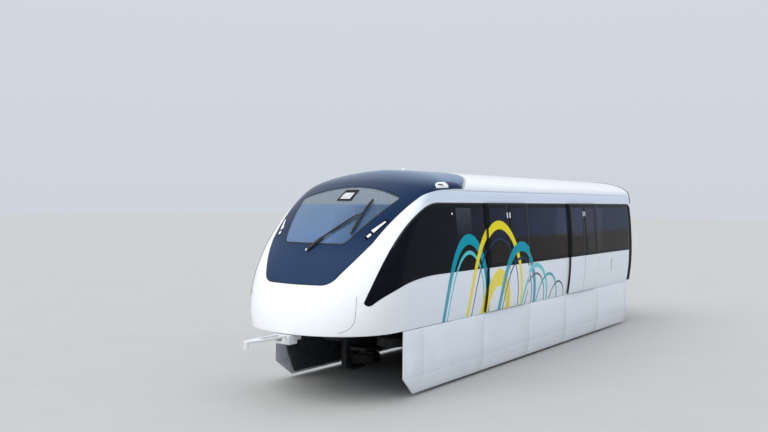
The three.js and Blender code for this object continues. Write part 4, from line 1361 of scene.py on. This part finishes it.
def couplers_and_frames():
    softened("front_coupler", PALE_STEEL, 0.008, 3)
    softened("rear_drawbar", STEEL)
    softened("rear_end_wall", TRIM)
    for end in BOGIES:
        softened(f"bogie_frame_{end}", CHASSIS, 0.010, 3)
    underframe = softened("underframe", [CHASSIS, FLOOR], 0.010, 3)
    on_floor = centres(underframe)[:, 2] > FLOOR_Z - 0.01
    paint_faces(underframe, 1, (normals(underframe)[:, 2] > 0.9) & on_floor)


MOTOR_Z = 1.285
MOTOR_FLANGE = 0.029
MOTOR_FINS = 15
FIN_Y = (0.735, 1.115)
FIN_RADIUS = 0.1095
BETWEEN_FINS = 0.094
# Bolts: radius of their ring, count and size
MOTOR_BOLTS = (0.135, 8, 0.011)


def motors():
    for end, centre in BOGIES.items():
        start, stop = FIN_Y
        pitch = (stop - start) / MOTOR_FINS
        profile = [[0.0, 0.730], [0.100, 0.730]]
        for i in range(MOTOR_FINS):
            low, high = (start + pitch * (i + share) for share in (0.15, 0.60))
            profile += [[BETWEEN_FINS, low - 0.002], [FIN_RADIUS, low]]
            profile += [[FIN_RADIUS, high], [BETWEEN_FINS, high + 0.002]]
        profile += [[0.085, stop + 0.010], [0.082, 1.158], [0.060, 1.160], [0.0, 1.160]]
        body = spun(f"motor_body_{end}", profile, (centre, 0, MOTOR_Z), "x", 48)
        low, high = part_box(f"traction_motor_{end}")
        face_x = low.x + MOTOR_FLANGE
        flange = block("flange", low, (face_x, high.y, high.z), 0.006)
        bolts = bolt_ring((face_x, 0, MOTOR_Z), "x", *MOTOR_BOLTS)
        motor = join(f"motor_{end}", [body, flange, *bolts])
        finished(motor, STEEL, f"bogie_{end}", [f"traction_motor_{end}"])


# Wheels

# Sections of hubs: [radius, offset], for a load wheel from the car's middle, otherwise from the wheel's
LOAD_HUB = [[0.0, 0.457], [0.058, 0.457], [0.062, 0.452], [0.062, 0.350], [0.105, 0.346]]
LOAD_HUB += [[0.110, 0.328], [0.195, 0.326], [0.215, 0.300], [0.235, 0.262], [0.262, 0.262]]
LOAD_HUB += [[0.270, 0.300], [0.292, 0.312], [0.296, 0.300], [0.290, 0.040], [0.0, 0.040]]
SPACER = [[0.0, -0.036], [0.29, -0.036], [0.29, 0.036], [0.0, 0.036]]
SMALL_HUB = [[0.038, -0.058], [0.070, -0.058], [0.078, -0.040], [0.150, -0.030], [0.168, -0.062]]
SMALL_HUB += [[0.188, -0.070], [0.188, 0.070], [0.168, 0.062], [0.150, 0.030], [0.078, 0.040]]
SMALL_HUB += [[0.070, 0.058], [0.038, 0.058], [0.038, -0.058]]

# Tyres: outer and inner radius, the offsets of the two sides, and grooves in the tread
LOAD_TYRE = (0.5, 0.29, 0.035, 0.318, 4)
SMALL_TYRE = (0.2995, 0.185, -0.094, 0.094, 2)
TYRE_SHOULDER = 0.028
GROOVE_DEPTH = 0.012

# Bolts on the hubs, as on the motors, and how far they lie from the car's or the wheel's middle
LOAD_BOLTS = (0.150, 10, 0.014)
LOAD_BOLTS_Y = 0.334
SMALL_BOLTS = (0.115, 6, 0.010)
SMALL_BOLTS_UP = 0.036


def tyre_profile(outer, inner, near, far, grooves):
    """The closed section of a tyre between two offsets: [radius, offset]."""
    middle, half = (near + far) / 2, (far - near) / 2
    shoulder, floor = TYRE_SHOULDER, outer - GROOVE_DEPTH
    side = [[inner, -half * 0.80], [inner + 0.03, -half * 0.92], [(inner + outer) / 2, -half]]
    side += [[outer - shoulder * 1.4, -half * 0.97], [outer - shoulder * 0.4, -half + shoulder * 0.5]]
    side += [[outer, -half + shoulder]]
    tread = []
    for place in steps(-half + shoulder, half - shoulder, grooves + 1)[1:-1]:
        tread += [[outer, place - 0.007], [floor, place - 0.005]]
        tread += [[floor, place + 0.005], [outer, place + 0.007]]
    ring = side + tread + [[r, -h] for r, h in side[::-1]]
    return [[r, middle + h] for r, h in ring + [ring[0]]]


def load_wheels():
    for end, centre in BOGIES.items():
        place = (centre, 0, AXLE_Z)
        tyres, hubs = [], []
        for side in SIDES.values():
            outward = np.array([1, side])
            tyres.append(spun("tyre", tyre_profile(*LOAD_TYRE) * outward, place, "y", 96))
            hubs.append(spun("hub", LOAD_HUB * outward, place, "y", 64))
            hubs += bolt_ring((centre, side * LOAD_BOLTS_Y, AXLE_Z), "y", *LOAD_BOLTS)
        hubs.append(spun("spacer", SPACER, place, "y", 64))
        body = f"load_wheels_{end}"
        finished(join(f"load_tyres_{end}", tyres), TYRE, body, [body])
        finished(join(f"load_hubs_{end}", hubs), HUB, body)


def small_wheels():
    """Guide and stabiliser wheels, which lie flat against the sides of the beam."""
    for node in [n for n in frame["nodes"] if n.startswith(("guide_wheel", "stabiliser_wheel"))]:
        x, y, z = sum(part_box(node), Vector()) / 2
        tyre = spun(node + "_tyre", tyre_profile(*SMALL_TYRE), (x, y, z), "z", 64)
        finished(tyre, TYRE, node, [node])
        hub = [spun("hub", SMALL_HUB, (x, y, z), "z", 48)]
        for up in (SMALL_BOLTS_UP, -SMALL_BOLTS_UP):
            hub += bolt_ring((x, y, z + up), "z", *SMALL_BOLTS)
        finished(join(node + "_hub", hub), HUB, node)


# Gangway, end frame and the inside

PASSAGE_HALF = 0.80
PASSAGE_TOP_Z = 3.48
PASSAGE_CORNER = 0.16
BELLOWS_FOOT_Z = 1.215
BELLOWS_INSET = 0.032
UNDER_ROOF_INSET = 0.066
FOLDS = 9
FOLD_DEPTH = 0.045
ROWS_IN_FOLD = 8


def passage_ring(d):
    """The gangway's doorway: a closed rectangle with round corners, across the car."""
    half, low, high, corner = PASSAGE_HALF, FLOOR_Z, PASSAGE_TOP_Z, PASSAGE_CORNER
    line = traced(
        (0, low),
        (10, (half - corner, low)),
        (6, (half, low), (half, low + corner)),
        (28, (half, high - corner)),
        (6, (half, high), (half - corner, high)),
        (10, (0, high)),
    )
    return both_halves(np.column_stack([np.full(len(line), NOSE_X - d), line]))


def body_ring(d, drawn=0.0):
    """An outline across the car that is flush with the body's sides and passes under its roof."""
    line = passage_ring(d)
    beside, under_roof = (pulled(line, drawn + inset) for inset in (BELLOWS_INSET, UNDER_ROOF_INSET))
    ring = np.where(beside[:, 2:] < BAND_TOP_Z, beside, under_roof)
    drop = np.maximum(SPINE_Z - ring[:, 2], 1e-6)
    share = np.minimum((SPINE_Z - BELLOWS_FOOT_Z - drawn) / drop, 1)[:, None]
    root = np.array([NOSE_X - d, 0, SPINE_Z])
    return root + (ring - root) * share


def gangway():
    """The folded bellows, the frames at both of its ends and the lining of the way through."""
    start, stop = BODY_REAR + 0.03, CAR_REAR - 0.035
    out, drawn_in = (body_ring(start, drawn) for drawn in (0.0, FOLD_DEPTH))
    rows = FOLDS * ROWS_IN_FOLD
    piece, along, across = grid("gangway_folds", len(out) - 1, rows)
    share = across / rows
    draw = (0.5 - 0.5 * np.cos(2 * math.pi * FOLDS * share))[:, None]
    points = out[along] * (1 - draw) + drawn_in[along] * draw
    points[:, 0] = NOSE_X - (start + (stop - start) * share)
    place_corners(piece, points)
    merge_doubles(piece)
    facing_out(piece, (NOSE_X - (start + stop) / 2, 0, SPINE_Z))
    finished(thick(piece, 0.006), CLOTH, replaces=["gangway_bellows"])
    frames = []
    for d in (BODY_REAR + 0.004, CAR_REAR - 0.030):
        plate = sheet("frame", body_ring(d), passage_ring(d), 4, None)
        if normals(plate)[:, 0].sum() > 0:
            edit(plate, bpy.ops.mesh.flip_normals)
        modify(plate, "SOLIDIFY", thickness=0.030, offset=1)
        bevel(plate, 0.004)
        smooth(plate)
        frames.append(plate)
    finished(join("gangway_frames", frames), CLOTH)
    lining = sheet("gangway_lining", passage_ring(start), passage_ring(CAR_REAR - 0.03), 6, None)
    turn_faces(lining, inside=True)
    finished(thick(lining, 0.008), RUBBER)


HOUSING_LENGTH_HALF = 0.70
HOUSING_HALF = 0.64
HOUSING_TOP = 2.24
SEAT_TOP = 1.99
SEAT_HALF = 0.195
SEAT_PITCH = 0.41
# The parts of a seat: how far they reach from the bogie's centre, and their heights
SEAT_PARTS = {
    "cushion": ((0.70, 1.125), (1.885, SEAT_TOP)),
    "back": ((0.702, 0.768), (SEAT_TOP - 0.02, 2.48)),
}


def seats():
    """On each wheel housing three seats that face forward and three that face back, with plinths."""
    def beside(name, centre, way, reach, y_range, z_range, *rounding):
        x_range = sorted(centre + way * d for d in reach)
        return block(name, *zip(x_range, y_range, z_range), *rounding)

    for end, centre in BOGIES.items():
        low = (centre - HOUSING_LENGTH_HALF, -HOUSING_HALF, FLOOR_Z)
        high = (centre + HOUSING_LENGTH_HALF, HOUSING_HALF, HOUSING_TOP)
        housing = block(f"wheel_housing_{end}", low, high, 0.03)
        drop_faces(housing, (normals(housing)[:, 2] < -0.9) & (centres(housing)[:, 2] < FLOOR_Z + 0.001))
        finished(housing, WALL_LINING, replaces=[f"housing_with_seats_{end}"])
        shells, plinths = [], []
        for way in (1, -1):
            for y in (-SEAT_PITCH, 0.0, SEAT_PITCH):
                for part, (reach, z_range) in SEAT_PARTS.items():
                    y_range = (y - SEAT_HALF, y + SEAT_HALF)
                    shells.append(beside(part, centre, way, reach, y_range, z_range, 0.03, 4))
            reach = (HOUSING_LENGTH_HALF, 0.95)
            plinths.append(beside("plinth", centre, way, reach, (-0.30, 0.30), (FLOOR_Z, 1.886), 0.012))
        finished(join(f"moulded_seats_{end}", shells), SEAT)
        finished(join(f"seat_plinths_{end}", plinths), CHASSIS)


RAIL_RADIUS = 0.017
RAIL_Y = 0.76
RAIL_Z = 3.38
POLE_FOOT = 0.030
POLE_HEAD_Z = 3.655
POLE_GAP = 0.15
POLE_PLACES = [centre + way * (DOORWAY_HALF + POLE_GAP) for centre in DOOR_CENTRES for way in (-1, 1)]
POLE_PLACES.append(sum(DOOR_CENTRES) / 2)
LIGHT_Y = 0.55
LIGHT_HALF = 0.06


def ceiling():
    low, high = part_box("ceiling_with_grab_rails")
    panel = block("ceiling", (low.x, low.y, high.z - 0.04), high, 0.006)
    finished(panel, TRIM, replaces=["ceiling_with_grab_rails"])


def grab_poles():
    """Upright poles from floor to ceiling and the rails between them, on both sides of the aisle."""
    foot, head = FLOOR_Z, POLE_HEAD_Z
    pole = [[0, foot], [POLE_FOOT, foot], [POLE_FOOT, foot + 0.012], [RAIL_RADIUS, foot + 0.020]]
    pole += [[RAIL_RADIUS, head - 0.025], [POLE_FOOT, head - 0.015], [POLE_FOOT, head], [0, head]]
    rear, front = -max(POLE_PLACES) - 0.02, -min(POLE_PLACES) + 0.02
    rail = [[0, rear], [RAIL_RADIUS, rear], [RAIL_RADIUS, front], [0, front]]
    bars = []
    for y in (RAIL_Y, -RAIL_Y):
        bars += [spun("pole", pole, (NOSE_X - d, y, 0), "z", 20) for d in POLE_PLACES]
        bars.append(spun("rail", rail, (NOSE_X, y, RAIL_Z), "x", 20))
    finished(join("poles_and_rails", bars), POLE_YELLOW)


def light_covers():
    """The two long covers of the lights under the ceiling."""
    low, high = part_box("ceiling_with_grab_rails")
    lights = []
    for y in (-LIGHT_Y, LIGHT_Y):
        start = (low.x + 0.1, y - LIGHT_HALF, high.z - 0.052)
        end = (high.x - 1.5, y + LIGHT_HALF, high.z - 0.038)
        lights.append(block("light", start, end, 0.004))
    finished(join("ceiling_light_covers", lights), LIGHT_COVER)


def driver_desk():
    softened("driver_desk", TRIM, 0.015, 3)
    display = block("desk_display", (NOSE_X - 1.62, -0.30, 2.46), (NOSE_X - 1.55, 0.30, 2.66), 0.010)
    finished(display, BORDER_BLACK)


SCREEN_WALL_D = 2.72
SCREEN_WALL_HALF = 1.405
SCREEN_WALL_POST_Y = 0.60


def screen_wall():
    """The glazed frame over the front wheel housing, behind the first seats."""
    def upright_slab(name, half_depth, y_range, z_range, edge):
        x = NOSE_X - SCREEN_WALL_D
        low, high = zip((x - half_depth, x + half_depth), y_range, z_range)
        return block(name, low, high, edge)

    def bar(y_range, z_range):
        return upright_slab("bar", 0.02, y_range, z_range, 0.006)

    half, foot = SCREEN_WALL_POST_Y, HOUSING_TOP
    bars = [bar((-SCREEN_WALL_HALF, SCREEN_WALL_HALF), (3.35, 3.41))]
    bars += [bar((y - 0.022, y + 0.022), (foot, 3.66)) for y in (-half, 0.0, half)]
    bars.append(bar((-half, half), (foot + 0.20, foot + 0.25)))
    finished(join("screen_wall_frame", bars), PALE_STEEL)
    pane = upright_slab("screen_wall_pane", 0.004, (-half, half), (foot + 0.24, 3.36), 0.001)
    finished(pane, GLASS)


# Camera, floor and light

SENSOR_MM = 36
PHOTO_WIDTH = 768
FOCAL_PIXELS = 813.98
CAMERA_AT = (NOSE_X + 10.197, 9.181, 3.3855)
CAMERA_AZIMUTH = 125.01
CAMERA_ROLL = -0.30
HORIZON_SHIFT = -0.01603
SUN_WAY = (-0.60, 0.16, -0.78)


def camera():
    data = bpy.data.cameras.new("camera")
    data.lens = SENSOR_MM * FOCAL_PIXELS / PHOTO_WIDTH
    data.shift_y = HORIZON_SHIFT
    data.clip_end = 500
    holder = linked("camera", data)
    holder.location = CAMERA_AT
    holder.rotation_euler = (math.pi / 2, math.radians(CAMERA_ROLL), math.radians(CAMERA_AZIMUTH))
    bpy.context.scene.camera = holder


# How high the sky's colours lie, from 0 at the horizon to 1 overhead
SKY = [
    (0.0, (0.62, 0.66, 0.72)),
    (0.25, (0.64, 0.69, 0.76)),
    (0.60, (0.95, 0.98, 1.0)),
    (1.0, (0.82, 0.90, 1.0)),
]


def sky_light():
    """Soft light from all round, brighter overhead than behind the car."""
    world = bpy.data.worlds.new("studio_air")
    world.use_nodes = True
    nodes, links = world.node_tree.nodes, world.node_tree.links
    place = nodes.new("ShaderNodeTexCoord")
    parts = nodes.new("ShaderNodeSeparateXYZ")
    ramp = nodes.new("ShaderNodeValToRGB")
    links.new(place.outputs["Generated"], parts.inputs[0])
    links.new(parts.outputs["Z"], ramp.inputs["Fac"])
    links.new(ramp.outputs["Color"], nodes["Background"].inputs["Color"])
    ramp.color_ramp.elements[1].position = SKY[-1][0]
    for height, _ in SKY[1:-1]:
        ramp.color_ramp.elements.new(height)
    for stop, (_, colour) in zip(ramp.color_ramp.elements, SKY):
        stop.color = (*colour, 1)
    nodes["Background"].inputs["Strength"].default_value = 1.0
    bpy.context.scene.world = world


def studio():
    """The floor, and a wide sun low enough to light the side."""
    floor = primitive("studio_floor", bpy.ops.mesh.primitive_plane_add, size=400)
    f = Finish("pale_studio_floor", Roughness=0.9)
    f.set(Base_Color=f.mix(f.noise(0.6), (0.46, 0.46, 0.46), (0.50, 0.50, 0.49)))
    dress(floor, f.material)
    sky_light()
    bpy.context.scene.view_settings.view_transform = "Standard"
    data = bpy.data.lights.new("soft_sun", "SUN")
    data.energy = 1.7
    data.angle = math.radians(50)
    data.color = (1.0, 0.97, 0.92)
    sun = linked("soft_sun", data)
    sun.visible_glossy = False
    sun.rotation_euler = Vector(SUN_WAY).to_track_quat("-Z", "Y").to_euler()


camera()
studio()
front_mask()
windscreen()
nose_skin()
mask_seal()
fairing_seam()
side_skins()
side_panes()
window_mark()
doors()
side_seals()
roof_skin()
roof_trim()
skirts()
headlamps()
wiper()
roof_side_pods()
antenna()
windscreen_patch()
couplers_and_frames()
motors()
load_wheels()
small_wheels()
gangway()
seats()
ceiling()
grab_poles()
light_covers()
driver_desk()
screen_wall()
